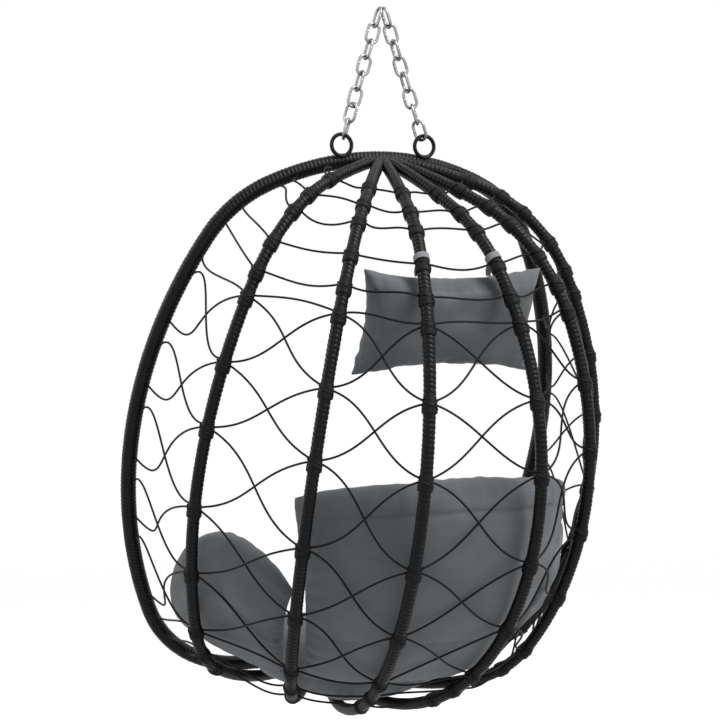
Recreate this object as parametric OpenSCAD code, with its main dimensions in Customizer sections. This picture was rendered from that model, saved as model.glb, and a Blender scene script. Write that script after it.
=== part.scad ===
// Hanging egg chair: a laced basket of wrapped steel tubes on two short chains.
// Millimetres, +Z up. The origin is the hang point, where a hook bears in the two top links.
// The open front faces -Y and the laced back faces +Y; the plane X = 0 is its plane of symmetry.

/* [Basket] */
// Height of the basket along its own leaning axis, from the hub under the seat to the crown
basket_h = 1060; // [960:10:1160]
// How far that axis leans back from upright, in degrees
lean = 19.8; // [16:0.1:23]
// Angle of the outer pair of ribs round the axis, from the plane of the front ring
outer_angle = 33.8; // [30:0.1:38]
// Angle of the middle pair of ribs
middle_angle = 59.8; // [55:0.1:64]
// Angle of the centre pair of ribs
centre_angle = 79; // [76:0.1:81]

/* [Front ring outline] */
// Radius of the ring's crown
ring_crown_r = 520; // [480:5:600]
// Radius of the ring's shoulders
ring_shoulder_r = 245; // [220:5:270]
// Distance of a shoulder's centre from the axis
ring_shoulder_x = 118; // [105:1:130]
// How far the centre of a side's bend lies beyond the line through its shoulder's and corner's centres
ring_side_in = 567; // [500:1:640]
// Radius of the ring's lower corners
ring_corner_r = 230; // [210:5:250]
// Half the width of the ring's straight base
ring_base_half = 160; // [145:1:175]

/* [Outer rib outline] */
// Radius of an outer rib's crown
outer_crown_r = 980; // [900:5:1060]
// Radius of its shoulder
outer_shoulder_r = 300; // [280:5:320]
// Distance of the shoulder's centre from the axis
outer_shoulder_x = 120; // [110:1:130]
// How far the centre of its side's bend lies beyond the line through its shoulder's and corner's centres
outer_side_in = 488; // [440:1:540]
// Radius of its lower corner
outer_corner_r = 225; // [205:5:245]
// Distance of the corner's centre from the axis
outer_corner_x = 229; // [215:1:243]
// Radius of its base
outer_base_r = 650; // [600:10:720]

/* [Middle rib outline] */
// Radius of a middle rib's crown
middle_crown_r = 1140; // [1060:5:1220]
// Radius of its shoulder
middle_shoulder_r = 355; // [335:5:375]
// Distance of the shoulder's centre from the axis
middle_shoulder_x = 153; // [140:1:165]
// How far the centre of its side's bend lies beyond the line through its shoulder's and corner's centres
middle_side_in = 315; // [280:1:350]
// Radius of its lower corner
middle_corner_r = 290; // [270:5:310]
// Distance of the corner's centre from the axis
middle_corner_x = 225; // [212:1:238]
// Radius of its base
middle_base_r = 725; // [680:5:780]

/* [Centre rib outline] */
// Radius of a centre rib's crown
centre_crown_r = 1180; // [1100:5:1260]
// Radius of its shoulder
centre_shoulder_r = 370; // [350:5:390]
// Distance of the shoulder's centre from the axis
centre_shoulder_x = 168; // [155:1:180]
// How far the centre of its side's bend lies beyond the line through its shoulder's and corner's centres
centre_side_in = 108; // [90:1:130]
// Radius of its lower corner
centre_corner_r = 260; // [240:5:280]
// Distance of the corner's centre from the axis
centre_corner_x = 163; // [150:1:175]
// Radius of its base
centre_base_r = 1500; // [1300:20:1700]

/* [Tubes and wraps] */
// Outside diameter of the front ring's steel tube
ring_tube_d = 25; // [22:0.5:28]
// Outside diameter of a rib's steel tube
rib_tube_d = 19; // [16:0.5:21]
// Wall of the front ring's tube
ring_wall = 2; // [1.5:0.1:2.5]
// Wall of the ribs' tubes
rib_wall = 1; // [0.8:0.1:1.5]
// Thickness of the plastic cane wound round the tubes
wrap_t = 2.5; // [2:0.1:3.5]
// How far a joint of two bends stands out under and over the wrap
joint_rise = 0.4; // [0.3:0.05:0.8]
// Length of such a joint
joint_l = 10; // [8:1:14]

/* [Lacing] */
// Diameter of the lacing cord
cord_d = 4; // [3:0.1:5]
// Length of a knot wound round a rib
knot_l = 42; // [34:1:50]
// How far a knot stands proud of the rib's wrap
knot_rise = 3; // [2:0.1:4]
// How deep a knot is pulled into the wrap
knot_bite = 1; // [0.8:0.1:1.4]
// Sag of a row that runs straight from rib to rib
row_sag = 9; // [4:1:14]

/* [Chains and eyes] */
// Wire of a chain link
link_wire = 5.8; // [5:0.1:6.5]
// Length of a link inside, which is the chain's pitch
link_inside_l = 32; // [28:0.5:36]
// Width of a link inside
link_inside_w = 17.4; // [15:0.1:20]
// Play between one link and the next
link_play = 0.4; // [0.3:0.05:0.8]
// Distance between the two top links, centre to centre
top_gap = 9; // [8:0.5:14]
// Distance of an eye from the plane of symmetry
eye_x = 86; // [76:1:96]
// Diameter of an eye inside
eye_inside_d = 33; // [30:0.5:36]
// Rod of an eye
eye_wire = 7.5; // [6.5:0.1:8.5]
// Height of an eye's centre above the ring's
eye_rise = 31; // [28:0.5:32]
// Distance of an eye's centre behind the ring's
eye_back = 13; // [8:0.5:15]

/* [Cushions] */
// Width of the seat pad
seat_w = 450; // [400:10:460]
// Depth of the seat pad
seat_d = 314; // [280:2:330]
// Where the seat pad ends, behind the basket's axis
seat_back = 318; // [312:1:324]
// Thickness of the seat pad
seat_t = 120; // [90:5:120]
// Height of the back pad's lower seam above the hub, along the axis
back_low = 152; // [150:2:170]
// Height of its upper seam in the middle
back_top = 642; // [600:2:660]
// How much lower that seam is at its corners
back_dome = 85; // [60:5:110]
// Half the angle that the back pad spans, half way up
back_half_angle = 31; // [28:0.5:33]
// How much of that angle it gains at the top and loses at the bottom
back_taper = 0.09; // [0:0.01:0.12]
// Thickness of the back pad
back_t = 80; // [70:5:110]
// Height of an arm pad's lower seam above the hub, along the axis
arm_low = 154; // [150:2:170]
// Height of its upper seam at its highest
arm_top = 435; // [400:5:450]
// How far that seam would fall from there over half the pad's width
arm_dome = 130; // [90:5:150]
// Where it is highest, as a share of half the pad's width, behind its middle
arm_peak = 0.34; // [0.2:0.02:0.4]
// Angle of an arm pad's middle, round the axis from the plane of the front ring
arm_angle = 34.5; // [34:0.5:36]
// Half the angle that it spans
arm_half_angle = 24; // [20:0.5:24.5]
// Thickness of an arm pad
arm_t = 80; // [60:5:90]
// Width of the head pillow
pillow_w = 360; // [320:2:390]
// Height of the head pillow
pillow_h = 204; // [180:2:230]
// Thickness of the head pillow
pillow_t = 80; // [65:5:95]
// How much less than the basket the head pillow leans back, in degrees
pillow_turn = 1.8; // [0:0.1:6]
// How far its upper corners hang below its straps' loops, square to its thickness
pillow_drop = 16; // [8:1:30]
// How far its middle lies ahead of its straps' loops
pillow_ahead = 9; // [4:1:16]
// Width of a pillow strap
strap_w = 15; // [12:1:20]
// Thickness of a pillow strap
strap_t = 1.6; // [1.2:0.1:2.4]

/* [Hidden] */
link_count = 8;
rib_count = 6;
bay_count = rib_count + 1;

$fn = 48;
long_arc_fn = 180;
// How far a pad's seam stands off its outer side
seat_rim = 30;
back_rim = 32;
arm_rim = 25;
// The lacing runs straight between the ribs, so it comes further in than they do
lace_gap = 16;
// The row of knots that the pillow's straps go round, counted from 0
strap_row = 3;
cane = [0.13, 0.13, 0.14];
steel_black = [0.1, 0.1, 0.11];
zinc = [0.8, 0.81, 0.83];
cloth = [0.36, 0.38, 0.41];
strap_grey = [0.55, 0.57, 0.6];

// Rows of knots, as a share of a rib's length from the crown, in percent
knot_rows = [10, 14, 17.1, 21.7, 25.4, 28.4, 35.9, 43.2, 52.4, 60.6, 68.6, 72.6, 76.6];
// The row where the crossing lacing starts and the row where it ends, counted from 0
first_cross = 5;
last_cross = 10;
// Places on the front ring where a row ends, along the ring from the crown
ring_rows = [123, 180, 232, 296, 344, 416];
// Places on the front ring where the crossing lacing turns back, along the ring from the crown
ring_turns = [468, 586, 717, 865, 987, 1160];
turn_half = 30;
ring_foot_rows = [1185, 1240, 1300];

// ---- Outlines: each is a chain of arcs in a plane through the leaning axis ----

ring_outline = [ring_crown_r, ring_shoulder_r, ring_shoulder_x, ring_side_in,
    ring_corner_r, ring_base_half, 0];
outer_outline = [outer_crown_r, outer_shoulder_r, outer_shoulder_x, outer_side_in,
    outer_corner_r, outer_corner_x, outer_base_r];
middle_outline = [middle_crown_r, middle_shoulder_r, middle_shoulder_x, middle_side_in,
    middle_corner_r, middle_corner_x, middle_base_r];
centre_outline = [centre_crown_r, centre_shoulder_r, centre_shoulder_x, centre_side_in,
    centre_corner_r, centre_corner_x, centre_base_r];

// [centre, radius] of the circle that two circles, (c1, r1) and (c2, r2), touch from inside, and
// whose centre lies h to the side of the line from c1 to c2
function side_circle(c1, r1, c2, r2, h) =
    let (d = norm(c2 - c1), e = (c2 - c1) / d)
    let (a = (d * d - pow(r1 - r2, 2)) / (2 * d), b = (r1 - r2) / d)
    // How much more the new radius is than r1
    let (more = (-a * b + sqrt(a * a * b * b + (1 - b * b) * (a * a + h * h))) / (1 - b * b))
    [c1 + (a - b * more) * e + h * [e[1], -e[0]], r1 + more];

function heading(from, to) = atan2(to[1] - from[1], to[0] - from[0]);

// [centre, radius, first angle, last angle] of the crown, shoulder, side, corner and base
function arcs_of(p) =
    let (crown = [0, basket_h - p[0]])
    let (shoulder = [p[2], basket_h - p[0] + sqrt(pow(p[0] - p[1], 2) - p[2] * p[2])])
    let (base = [0, p[6]])
    let (corner = p[6] == 0 ? [p[5], p[4]] : [p[5], p[6] - sqrt(pow(p[6] - p[4], 2) - p[5] * p[5])])
    let (side = side_circle(shoulder, p[1], corner, p[4], p[3]))
    let (a1 = heading(crown, shoulder), a2 = heading(side[0], shoulder))
    let (a3 = heading(side[0], corner), a4 = p[6] == 0 ? -90 : heading(base, corner))
    [
        [crown, p[0], 90, a1],
        [shoulder, p[1], a1, a2],
        [side[0], side[1], a2, a3],
        [corner, p[4], a3, a4],
        [base, p[6], a4, -90]
    ];

function arc_length(arc) = arc[1] * (arc[2] - arc[3]) * PI / 180;
function chain_length(arcs) = [for (a = arcs) arc_length(a)] * [1, 1, 1, 1, 1];
// [distance from the axis, height, direction of the outward normal] at a length from the crown
function along(arcs, d, i = 0) =
    d > arc_length(arcs[i]) && i < 4 ? along(arcs, d - arc_length(arcs[i]), i + 1) :
    let (a = arcs[i][2] - d / arcs[i][1] * 180 / PI)
    concat(arcs[i][0] + arcs[i][1] * [cos(a), sin(a)], [a]);

ring_arcs = arcs_of(ring_outline);
rib_outlines = [outer_outline, middle_outline, centre_outline, centre_outline, middle_outline, outer_outline];
rib_arcs = [for (p = rib_outlines) arcs_of(p)];
rib_angles = [outer_angle, middle_angle, centre_angle,
    180 - centre_angle, 180 - middle_angle, 180 - outer_angle];

// ---- Placing: the basket hangs so that its eyes' chains meet at the origin ----

axis_up = [0, sin(lean), cos(lean)];
axis_back = [0, cos(lean), -sin(lean)];

ring_wrap_r = ring_tube_d / 2 + wrap_t;
rib_wrap_r = rib_tube_d / 2 + wrap_t;
eye_r = (eye_inside_d + eye_wire) / 2;
// Place of the ring's centre line above an eye, from the hub
ring_at_eye = (basket_h - ring_crown_r + sqrt(ring_crown_r * ring_crown_r - eye_x * eye_x)) * axis_up;
pitch = link_inside_l - link_play;
chain_l = link_count * pitch - link_play + eye_inside_d / 2;
chain_angle = asin((eye_x - top_gap / 2) / chain_l);
hub = [0, -ring_at_eye[1] - eye_back, -ring_at_eye[2] - eye_rise - chain_l * cos(chain_angle)];

// A point of the basket: x from the axis, y along the axis, in the plane at an angle round it
function on_basket(x, y, angle) = hub + y * axis_up + x * (cos(angle) * [1, 0, 0] + sin(angle) * axis_back);
function unit(v) = v / norm(v);

module in_plane(angle)
    translate(hub) rotate([-lean, 0, 0]) rotate([0, 0, angle]) rotate([90, 0, 0]) children();

// ---- Tubes ----

// A bend of a tube of radius t, held back a little at both ends, where a joint covers it
module bend(arc, t, first_back = 1, last_back = 1) {
    back = joint_l / 8 / arc[1] * 180 / PI;
    from = arc[3] + last_back * back;
    to = arc[2] - first_back * back;
    translate([arc[0][0], arc[0][1], 0])
        rotate([0, 0, from])
            rotate_extrude(angle = to - from, $fn = long_arc_fn)
                translate([arc[1], 0])
                    circle(t, $fn = $fn);
}

module joint_at_end(arc, t) {
    translate([arc[0][0], arc[0][1], 0])
        rotate([0, 0, arc[3]])
            translate([arc[1], 0, 0])
                rotate([90, 0, 0])
                    cylinder(r = t + joint_rise, h = joint_l, center = true);
}

module half_ring(t) {
    for (i = [1:3]) bend(ring_arcs[i], t);
    for (i = [0:3]) joint_at_end(ring_arcs[i], t);
}

module whole_ring(t) {
    half_ring(t);
    mirror([1, 0, 0]) half_ring(t);
    crown = ring_arcs[0];
    bend([crown[0], crown[1], 180 - crown[3], crown[3]], t);
    base_half = ring_base_half - joint_l / 8;
    translate([-base_half, 0, 0]) rotate([0, 90, 0]) cylinder(r = t, h = 2 * base_half);
}

module whole_rib(i, t) {
    arcs = rib_arcs[i - 1];
    bend(arcs[0], t, first_back = 0);
    for (k = [1:3]) bend(arcs[k], t);
    bend(arcs[4], t, last_back = 0);
    for (k = [0:3]) joint_at_end(arcs[k], t);
}

// The space of one rib: mitred against its neighbours, and cut off square at the ring
module rib_space(i, cut) {
    far = 900;
    low = i == 1 ? rib_angles[0] / 2 : (rib_angles[i - 2] + rib_angles[i - 1]) / 2;
    high = i == rib_count ? (rib_angles[i - 1] + 180) / 2 : (rib_angles[i - 1] + rib_angles[i]) / 2;
    translate(hub) rotate([-lean, 0, 0])
        translate([0, 0, -basket_h / 4])
            linear_extrude(basket_h * 1.5)
                polygon([
                    cut / sin(low) * [cos(low), sin(low)], far * [cos(low), sin(low)],
                    far * [cos(high), sin(high)], cut / sin(high) * [cos(high), sin(high)]
                ]);
}

module front_ring_tube() color(steel_black) in_plane(0) difference() {
    whole_ring(ring_tube_d / 2);
    whole_ring(ring_tube_d / 2 - ring_wall);
}

module front_ring_wrap() color(cane) in_plane(0) difference() {
    whole_ring(ring_wrap_r);
    whole_ring(ring_tube_d / 2);
}

module rib_tube(i) color(steel_black) intersection() {
    in_plane(rib_angles[i - 1]) difference() {
        whole_rib(i, rib_tube_d / 2);
        whole_rib(i, rib_tube_d / 2 - rib_wall);
    }
    rib_space(i, ring_wrap_r + 0.3);
}

module rib_wrap(i) color(cane) intersection() {
    in_plane(rib_angles[i - 1]) difference() {
        whole_rib(i, rib_wrap_r);
        whole_rib(i, rib_tube_d / 2);
    }
    rib_space(i, ring_wrap_r - 1);
}

// ---- Knots and lacing ----

function row_length(i, row) = knot_rows[row] / 100 * chain_length(rib_arcs[i - 1]);
// A place on a rib at a row, or a little further up the rib
function knot_place(i, row, up = 0) =
    let (p = along(rib_arcs[i - 1], row_length(i, row) - up))
    on_basket(p[0], p[1], rib_angles[i - 1]);

module knot() {
    r = rib_wrap_r + knot_rise;
    slope = knot_rise;
    rotate_extrude() polygon([
        [rib_wrap_r - knot_bite, -knot_l / 2], [rib_wrap_r, -knot_l / 2], [r, -knot_l / 2 + slope],
        [r, knot_l / 2 - slope], [rib_wrap_r, knot_l / 2], [rib_wrap_r - knot_bite, knot_l / 2]
    ]);
}

module rib_knots(i) color(cane) for (row = [0:len(knot_rows) - 1]) {
    p = along(rib_arcs[i - 1], row_length(i, row));
    in_plane(rib_angles[i - 1]) translate([p[0], p[1], 0]) rotate([0, 0, p[2]]) rotate([90, 0, 0]) knot();
}

// A curve from p to q with handles a and b, at t from 0 to 1
function curve_at(p, a, b, q, t) =
    pow(1 - t, 3) * p + 3 * t * pow(1 - t, 2) * a + 3 * t * t * (1 - t) * b + t * t * t * q;

// A tube of 5 sides round a curve, with its sides kept level with the direction "out"
module strand(p, a, b, q, out, spans) {
    sides = 5;
    pts = [for (k = [0:spans]) curve_at(p, a, b, q, k / spans)];
    dirs = [for (k = [0:spans])
        k == 0 ? unit(a - p) : k == spans ? unit(q - b) : unit(pts[k + 1] - pts[k - 1])];
    faces_side = [for (k = [0:spans - 1], s = [0:sides - 1]) let (n = (s + 1) % sides)
        each [[k * sides + s, k * sides + n, (k + 1) * sides + n],
            [k * sides + s, (k + 1) * sides + n, (k + 1) * sides + s]]];
    polyhedron(
        points = [for (k = [0:spans]) let (w = unit(cross(dirs[k], out)), o = cross(w, dirs[k]))
            for (s = [0:sides - 1])
                pts[k] + cord_d / 2 * (cos(360 * s / sides) * o + sin(360 * s / sides) * w)],
        faces = concat(faces_side,
            [[for (s = [sides - 1:-1:0]) s]], [[for (s = [0:sides - 1]) spans * sides + s]])
    );
}

// Rib 0 and rib 7 stand for the two sides of the front ring
function bay_angle(bay) = bay == 1 ? outer_angle / 2 : bay == bay_count ? 180 - outer_angle / 2 :
    (rib_angles[bay - 2] + rib_angles[bay - 1]) / 2;
function bay_out(bay) = cos(bay_angle(bay)) * [1, 0, 0] + sin(bay_angle(bay)) * axis_back;
// The direction round the basket, from rib 1 towards rib 6, in the middle of a bay
function bay_round(bay) = -sin(bay_angle(bay)) * [1, 0, 0] + cos(bay_angle(bay)) * axis_back;

function ring_place(d, side) = let (p = along(ring_arcs, d)) on_basket(p[0], p[1], side < 0 ? 0 : 180);

// A strand between two places, leaving each by its own direction, with a lift of its middle
module lace(p, q, p_dir, q_dir, p_start, q_start, bay, lift, pull, spans) {
    out = bay_out(bay);
    p1 = p + p_start * p_dir;
    q1 = q + q_start * q_dir;
    l = pull * norm(q1 - p1);
    strand(p1, p1 + l * p_dir + lift * out, q1 + l * q_dir + lift * out, q1, out, spans);
}

cord_start = rib_wrap_r + knot_rise * 0.6;
ring_cord_start = ring_wrap_r - cord_d / 4;
// How far the strands that cross are lifted apart, so that they lie over each other without touching
cross_lift = cord_d * 1.85;
hook_lift = cord_d * 2.6;
// Strands that share a knot leave it this far above and below its middle
apart = cord_d * 0.8;

// A row that runs from rib to rib, hanging a little
module row_lace(bay, row) {
    dir = bay_round(bay);
    sag = -row_sag / 60 * axis_up;
    up = row == first_cross ? apart : row == last_cross ? -apart : 0;
    p = knot_place(bay - 1, row, up);
    q = knot_place(bay, row, up);
    lace(p, q, unit(dir + sag), unit(-dir + sag), cord_start, cord_start, bay, 0, 0.33, 4);
}

// Two strands that cross in a cell: each falls a little as it leaves its upper knot, is steepest in the
// middle and comes almost level to its lower knot
module cross_lace(bay, row) {
    dir = bay_round(bay);
    fall = -0.4 * axis_up;
    rise = 0.3 * axis_up;
    // The strand that falls towards rib 6 lies inside on one half of the basket, outside on the other
    lift = bay < bay_count / 2 ? -cross_lift : cross_lift;
    lace(knot_place(bay - 1, row, -apart), knot_place(bay, row + 1, apart),
        unit(dir + fall), unit(-dir + rise), cord_start, cord_start, bay, lift, 0.38, 6);
    lace(knot_place(bay, row, -apart), knot_place(bay - 1, row + 1, apart),
        unit(-dir + fall), unit(dir + rise), cord_start, cord_start, bay, -lift, 0.38, 6);
}

// The direction down the ring at a place on it
function ring_down(d, side) = unit(ring_place(d + 2, side) - ring_place(d - 2, side));

// A strand from the ring to a knot's end, with a handle at each: "down" is how much of the ring's own
// direction the first takes, and "fall" how steeply the second comes from below the knot
module hooked_lace(d, side, to_rib, down, ring_handle, knot_end, fall, knot_handle, bay, lift) {
    out = bay_out(bay);
    p = ring_place(d, side) + ring_cord_start * to_rib;
    q = knot_end - cord_start * to_rib;
    a = p + ring_handle * unit(to_rib + down * ring_down(d, side)) + lift * out;
    b = q - knot_handle * unit(to_rib + fall * axis_up) + lift * out;
    strand(p, a, b, q, out, 9);
}

// The bays beside the ring: side -1 is the one at +X
module end_lace(side) {
    bay = side < 0 ? 1 : bay_count;
    rib = side < 0 ? 1 : rib_count;
    to_rib = (side < 0 ? 1 : -1) * bay_round(bay);
    for (row = [0:first_cross])
        lace(ring_place(ring_rows[row], side), knot_place(rib, row, row == first_cross ? apart : 0),
            to_rib, -to_rib, ring_cord_start, cord_start, bay, 0, 0.35, 5);
    for (row = [first_cross:last_cross - 1]) {
        turn = row - first_cross;
        // One comes up to the ring from below, the other leaves it upward and falls to the next knot
        hooked_lace(ring_turns[turn + 1] - turn_half, side, to_rib, 0.4, 125,
            knot_place(rib, row, -apart), 0.4, 180, bay, -hook_lift);
        hooked_lace(ring_turns[turn] + (turn == 0 ? 0 : turn_half), side, to_rib, -1.65, 105,
            knot_place(rib, row + 1, apart), 0.3, 80, bay, hook_lift);
    }
    for (k = [0:2])
        lace(ring_place(ring_foot_rows[k], side), knot_place(rib, last_cross + k, k == 0 ? -apart : 0),
            to_rib, -to_rib, ring_cord_start, cord_start, bay, 0, 0.35, 4);
}

module lacing_bay(bay) color(steel_black) {
    if (bay == 1) end_lace(-1);
    else if (bay == bay_count) end_lace(1);
    else {
        for (row = [0:first_cross]) row_lace(bay, row);
        for (row = [first_cross:last_cross - 1]) cross_lace(bay, row);
        for (row = [last_cross:len(knot_rows) - 1]) row_lace(bay, row);
    }
}

// ---- Eyes and chains ----

eye_z = -chain_l * cos(chain_angle);

module eye(side) color(steel_black)
    translate([side * eye_x, 0, eye_z]) rotate([90, 0, 0]) rotate_extrude()
        translate([eye_r, 0]) circle(d = eye_wire);

// The turn of each link round the chain, in degrees, where 0 lies in the plane of the two chains
function link_turn(k) = k == link_count ? 58 : k == link_count - 1 ? 120 : k % 2 == 1 ? 90 : 0;

module link() {
    bend_r = (link_inside_w + link_wire) / 2;
    straight = link_inside_l - link_inside_w;
    for (m = [0, 1]) mirror([0, 0, m])
        translate([0, 0, straight / 2]) rotate([90, 0, 0]) rotate_extrude(angle = 180)
            translate([bend_r, 0]) circle(d = link_wire);
    for (s = [-1, 1]) translate([s * bend_r, 0, -straight / 2]) cylinder(d = link_wire, h = straight);
}

module chain_link(side, k) color(zinc)
    translate([side * top_gap / 2, 0, 0])
        rotate([0, -side * chain_angle, 0])
            translate([0, 0, -link_inside_l / 2 - (k - 1) * pitch])
                rotate([0, 0, side * link_turn(k)])
                    link();

// ---- The inside of the basket, which the pads lie against ----

function between(a, b, t) = a + (b - a) * t;
function arc_x(arc, y) = arc[0][0] + sqrt(max(0, arc[1] * arc[1] - pow(y - arc[0][1], 2)));
function low_end(arc) = arc[0][1] + arc[1] * sin(arc[3]);
// Distance of an outline from the axis at a height
function radius_at(arcs, y, i = 0) =
    i == 4 || y >= low_end(arcs[i]) ? arc_x(arcs[i], y) : radius_at(arcs, y, i + 1);
// Height of an outline's floor at a distance from the axis
function floor_at(arcs, x) =
    let (base = arcs[4], corner = arcs[3])
    x < base[1] * cos(base[2]) || (base[1] == 0 && x < corner[0][0]) ?
        base[1] - sqrt(max(0, base[1] * base[1] - x * x)) :
        corner[0][1] - sqrt(max(0, corner[1] * corner[1] - pow(x - corner[0][0], 2)));
// The same two, at an angle between the ring and the ribs
function mixed(at_ring, at_outer, at_middle, at_centre, f) =
    f < outer_angle ? between(at_ring, at_outer, f / outer_angle) :
    f < middle_angle ? between(at_outer, at_middle, (f - outer_angle) / (middle_angle - outer_angle)) :
    f < centre_angle ? between(at_middle, at_centre, (f - middle_angle) / (centre_angle - middle_angle)) :
    at_centre;
function fold(angle) = angle > 90 ? 180 - angle : angle;
function wall_radius(y, angle) = mixed(radius_at(ring_arcs, y), radius_at(rib_arcs[0], y),
    radius_at(rib_arcs[1], y), radius_at(rib_arcs[2], y), fold(angle));
function floor_height(x, angle) = mixed(floor_at(ring_arcs, x), floor_at(rib_arcs[0], x),
    floor_at(rib_arcs[1], x), floor_at(rib_arcs[2], x), fold(angle));

// ---- Cushions ----

pad_columns = 16;
pad_rows = 14;
// Places on a stuffed pad, closer together towards its seam, where u and v run from -1 to 1
pad_grid = [for (j = [0:pad_rows], i = [0:pad_columns])
    [sin(90 * (2 * i / pad_columns - 1)), sin(90 * (2 * j / pad_rows - 1))]];
pad_inner = [for (j = [1:pad_rows - 1], i = [1:pad_columns - 1]) j * (pad_columns + 1) + i];

// A pad's outline draws in between its corners, and its faces swell between its seams
function draw_in(t, amount) = 1 - amount * (1 - t * t);
function swell(u, v, fullness = 0.42) =
    pow(max(0, (1 - pow(abs(u), 2.4)) * (1 - pow(abs(v), 2.4))), fullness);

// A closed pad from the points of its front, and of its back without the seam they share
module stuffed(front, back) {
    wide = pad_columns + 1;
    function back_index(i, j) = i == 0 || j == 0 || i == pad_columns || j == pad_rows ?
        j * wide + i : len(front) + (j - 1) * (pad_columns - 1) + i - 1;
    // Each cell is cut from the pad's middle towards its nearest corner
    function cell(i, j) = (i < pad_columns / 2) == (j < pad_rows / 2) ?
        [[0, 0], [0, 1], [1, 1], [1, 0]] : [[0, 1], [1, 1], [1, 0], [0, 0]];
    faces = [for (j = [0:pad_rows - 1], i = [0:pad_columns - 1])
        let (f = [for (d = cell(i, j)) (j + d[1]) * wide + i + d[0]])
        let (b = [for (d = cell(i, j)) back_index(i + d[0], j + d[1])])
        each [[f[0], f[1], f[2]], [f[0], f[2], f[3]], [b[0], b[2], b[1]], [b[0], b[3], b[2]]]];
    polyhedron(points = concat(front, back), faces = faces);
}

// A pad that leans on the wall of the basket, between two angles and two heights. Its top seam is a
// parabola, which falls by "dome" over half the pad's width from its highest place, at "peak"
pad_gap = rib_wrap_r + knot_rise + 3;
function wall_point(g, face, mid_angle, half_angle, taper, low, top, dome, peak, t, rim) =
    let (angle = mid_angle - half_angle * g[0] * draw_in(g[1], 0.04) * (1 + taper * g[1]))
    let (y = between(low, top - dome * pow(g[0] - peak, 2), (1 + g[1]) / 2))
    let (depth = rim + (face > 0 ? t - rim : -rim) * swell(g[0], g[1]))
    on_basket(wall_radius(y, angle) - pad_gap - lace_gap - depth, y, angle);

module wall_pad(mid, half, taper, low, top, dome, peak, t, rim) stuffed(
    [for (g = pad_grid) wall_point(g, 1, mid, half, taper, low, top, dome, peak, t, rim)],
    [for (k = pad_inner) wall_point(pad_grid[k], -1, mid, half, taper, low, top, dome, peak, t, rim)]
);

function seat_point(g, face) =
    let (x = seat_w / 2 * g[0] * draw_in(g[1], 0.04))
    let (w = seat_back - seat_d / 2 + seat_d / 2 * g[1] * draw_in(g[0], 0.04))
    let (rise = seat_rim + (face > 0 ? seat_t - seat_rim : -seat_rim) * swell(g[0], g[1]))
    let (floor = floor_height(norm([x, w]), atan2(max(0, w), x)))
    hub + x * [1, 0, 0] + w * axis_back + (floor + pad_gap + rise) * axis_up;

module seat_pad() color(cloth) stuffed(
    [for (g = pad_grid) seat_point(g, 1)],
    [for (k = pad_inner) seat_point(pad_grid[k], -1)]
);

module back_pad() color(cloth)
    wall_pad(90, back_half_angle, back_taper, back_low, back_top, back_dome, 0, back_t, back_rim);

module arm_pad(side) color(cloth)
    wall_pad(side > 0 ? arm_angle : 180 - arm_angle, arm_half_angle, 0,
        arm_low, arm_top, arm_dome, -side * arm_peak, arm_t, arm_rim);

// The pillow hangs from its straps, whose loops go round a knot of the centre ribs, above the cord
strap_place = along(rib_arcs[2], row_length(3, strap_row) - (cord_d + strap_w) / 2 - 2);
strap_r = rib_wrap_r + knot_rise;
pillow_up = [0, sin(lean - pillow_turn), cos(lean - pillow_turn)];
pillow_ahead_dir = [0, -cos(lean - pillow_turn), sin(lean - pillow_turn)];
pillow_half_w = pillow_w / 2;
pillow_half_h = pillow_h / 2;
pillow_waist = 0.15;
pillow_middle = hub + strap_place[1] * axis_up + strap_place[0] * sin(centre_angle) * axis_back
    - (pillow_half_h + pillow_drop) * pillow_up + pillow_ahead * pillow_ahead_dir;

function pillow_point(g, face) =
    pillow_middle + pillow_half_w * g[0] * draw_in(g[1], 0.07) * [1, 0, 0]
    + face * pillow_t / 2 * swell(g[0], g[1]) * pillow_ahead_dir
    + pillow_half_h * g[1] * draw_in(g[0], pillow_waist) * pillow_up;

module head_pillow() color(cloth) stuffed(
    [for (g = pad_grid) pillow_point(g, 1)],
    [for (k = pad_inner) pillow_point(pad_grid[k], -1)]
);

// A strap round a centre rib, with a tail to the top seam of the pillow
module pillow_strap(side) color(strap_grey) {
    rib = side > 0 ? 3 : 4;
    p = strap_place;
    loop = on_basket(p[0], p[1], rib_angles[rib - 1]);
    seam = pillow_half_h * draw_in(loop[0] / pillow_half_w, pillow_waist) - 1;
    tail_end = pillow_middle + loop[0] * [1, 0, 0] + seam * pillow_up;
    tail_start = loop + (strap_r + strap_t / 2) * unit(tail_end - loop);
    in_plane(rib_angles[rib - 1]) translate([p[0], p[1], 0]) rotate([0, 0, p[2]]) rotate([90, 0, 0])
        difference() {
            cylinder(r = strap_r + strap_t, h = strap_w, center = true);
            cylinder(r = strap_r - strap_t / 4, h = strap_w + 2, center = true);
        }
    hull() for (end = [tail_start, tail_end]) translate(end) cube([strap_w, strap_t, strap_t], center = true);
}

front_ring_tube();
front_ring_wrap();
for (i = [1:rib_count]) {
    rib_tube(i);
    rib_wrap(i);
    rib_knots(i);
}
for (i = [1:bay_count])
    lacing_bay(i);
eye(1);  // eye_left
eye(-1);  // eye_right
for (i = [1:link_count]) {
    chain_link(1, i);
    chain_link(-1, i);
}
seat_pad();
back_pad();
arm_pad(1);  // arm_pad_left
arm_pad(-1);  // arm_pad_right
head_pillow();
pillow_strap(1);  // pillow_strap_left
pillow_strap(-1);  // pillow_strap_right
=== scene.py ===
"""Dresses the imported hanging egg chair: wound cane, lashings, cord, chains, stuffed pads and the stage.

Metres, +Z up. The origin is the hang point, the open front faces -Y and the laced back faces +Y.
"""

import math

import bpy
import numpy as np
from bpy.props import FloatProperty, FloatVectorProperty, PointerProperty
from bpy.types import Operator, Panel, PropertyGroup
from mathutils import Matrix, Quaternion, Vector


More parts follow.
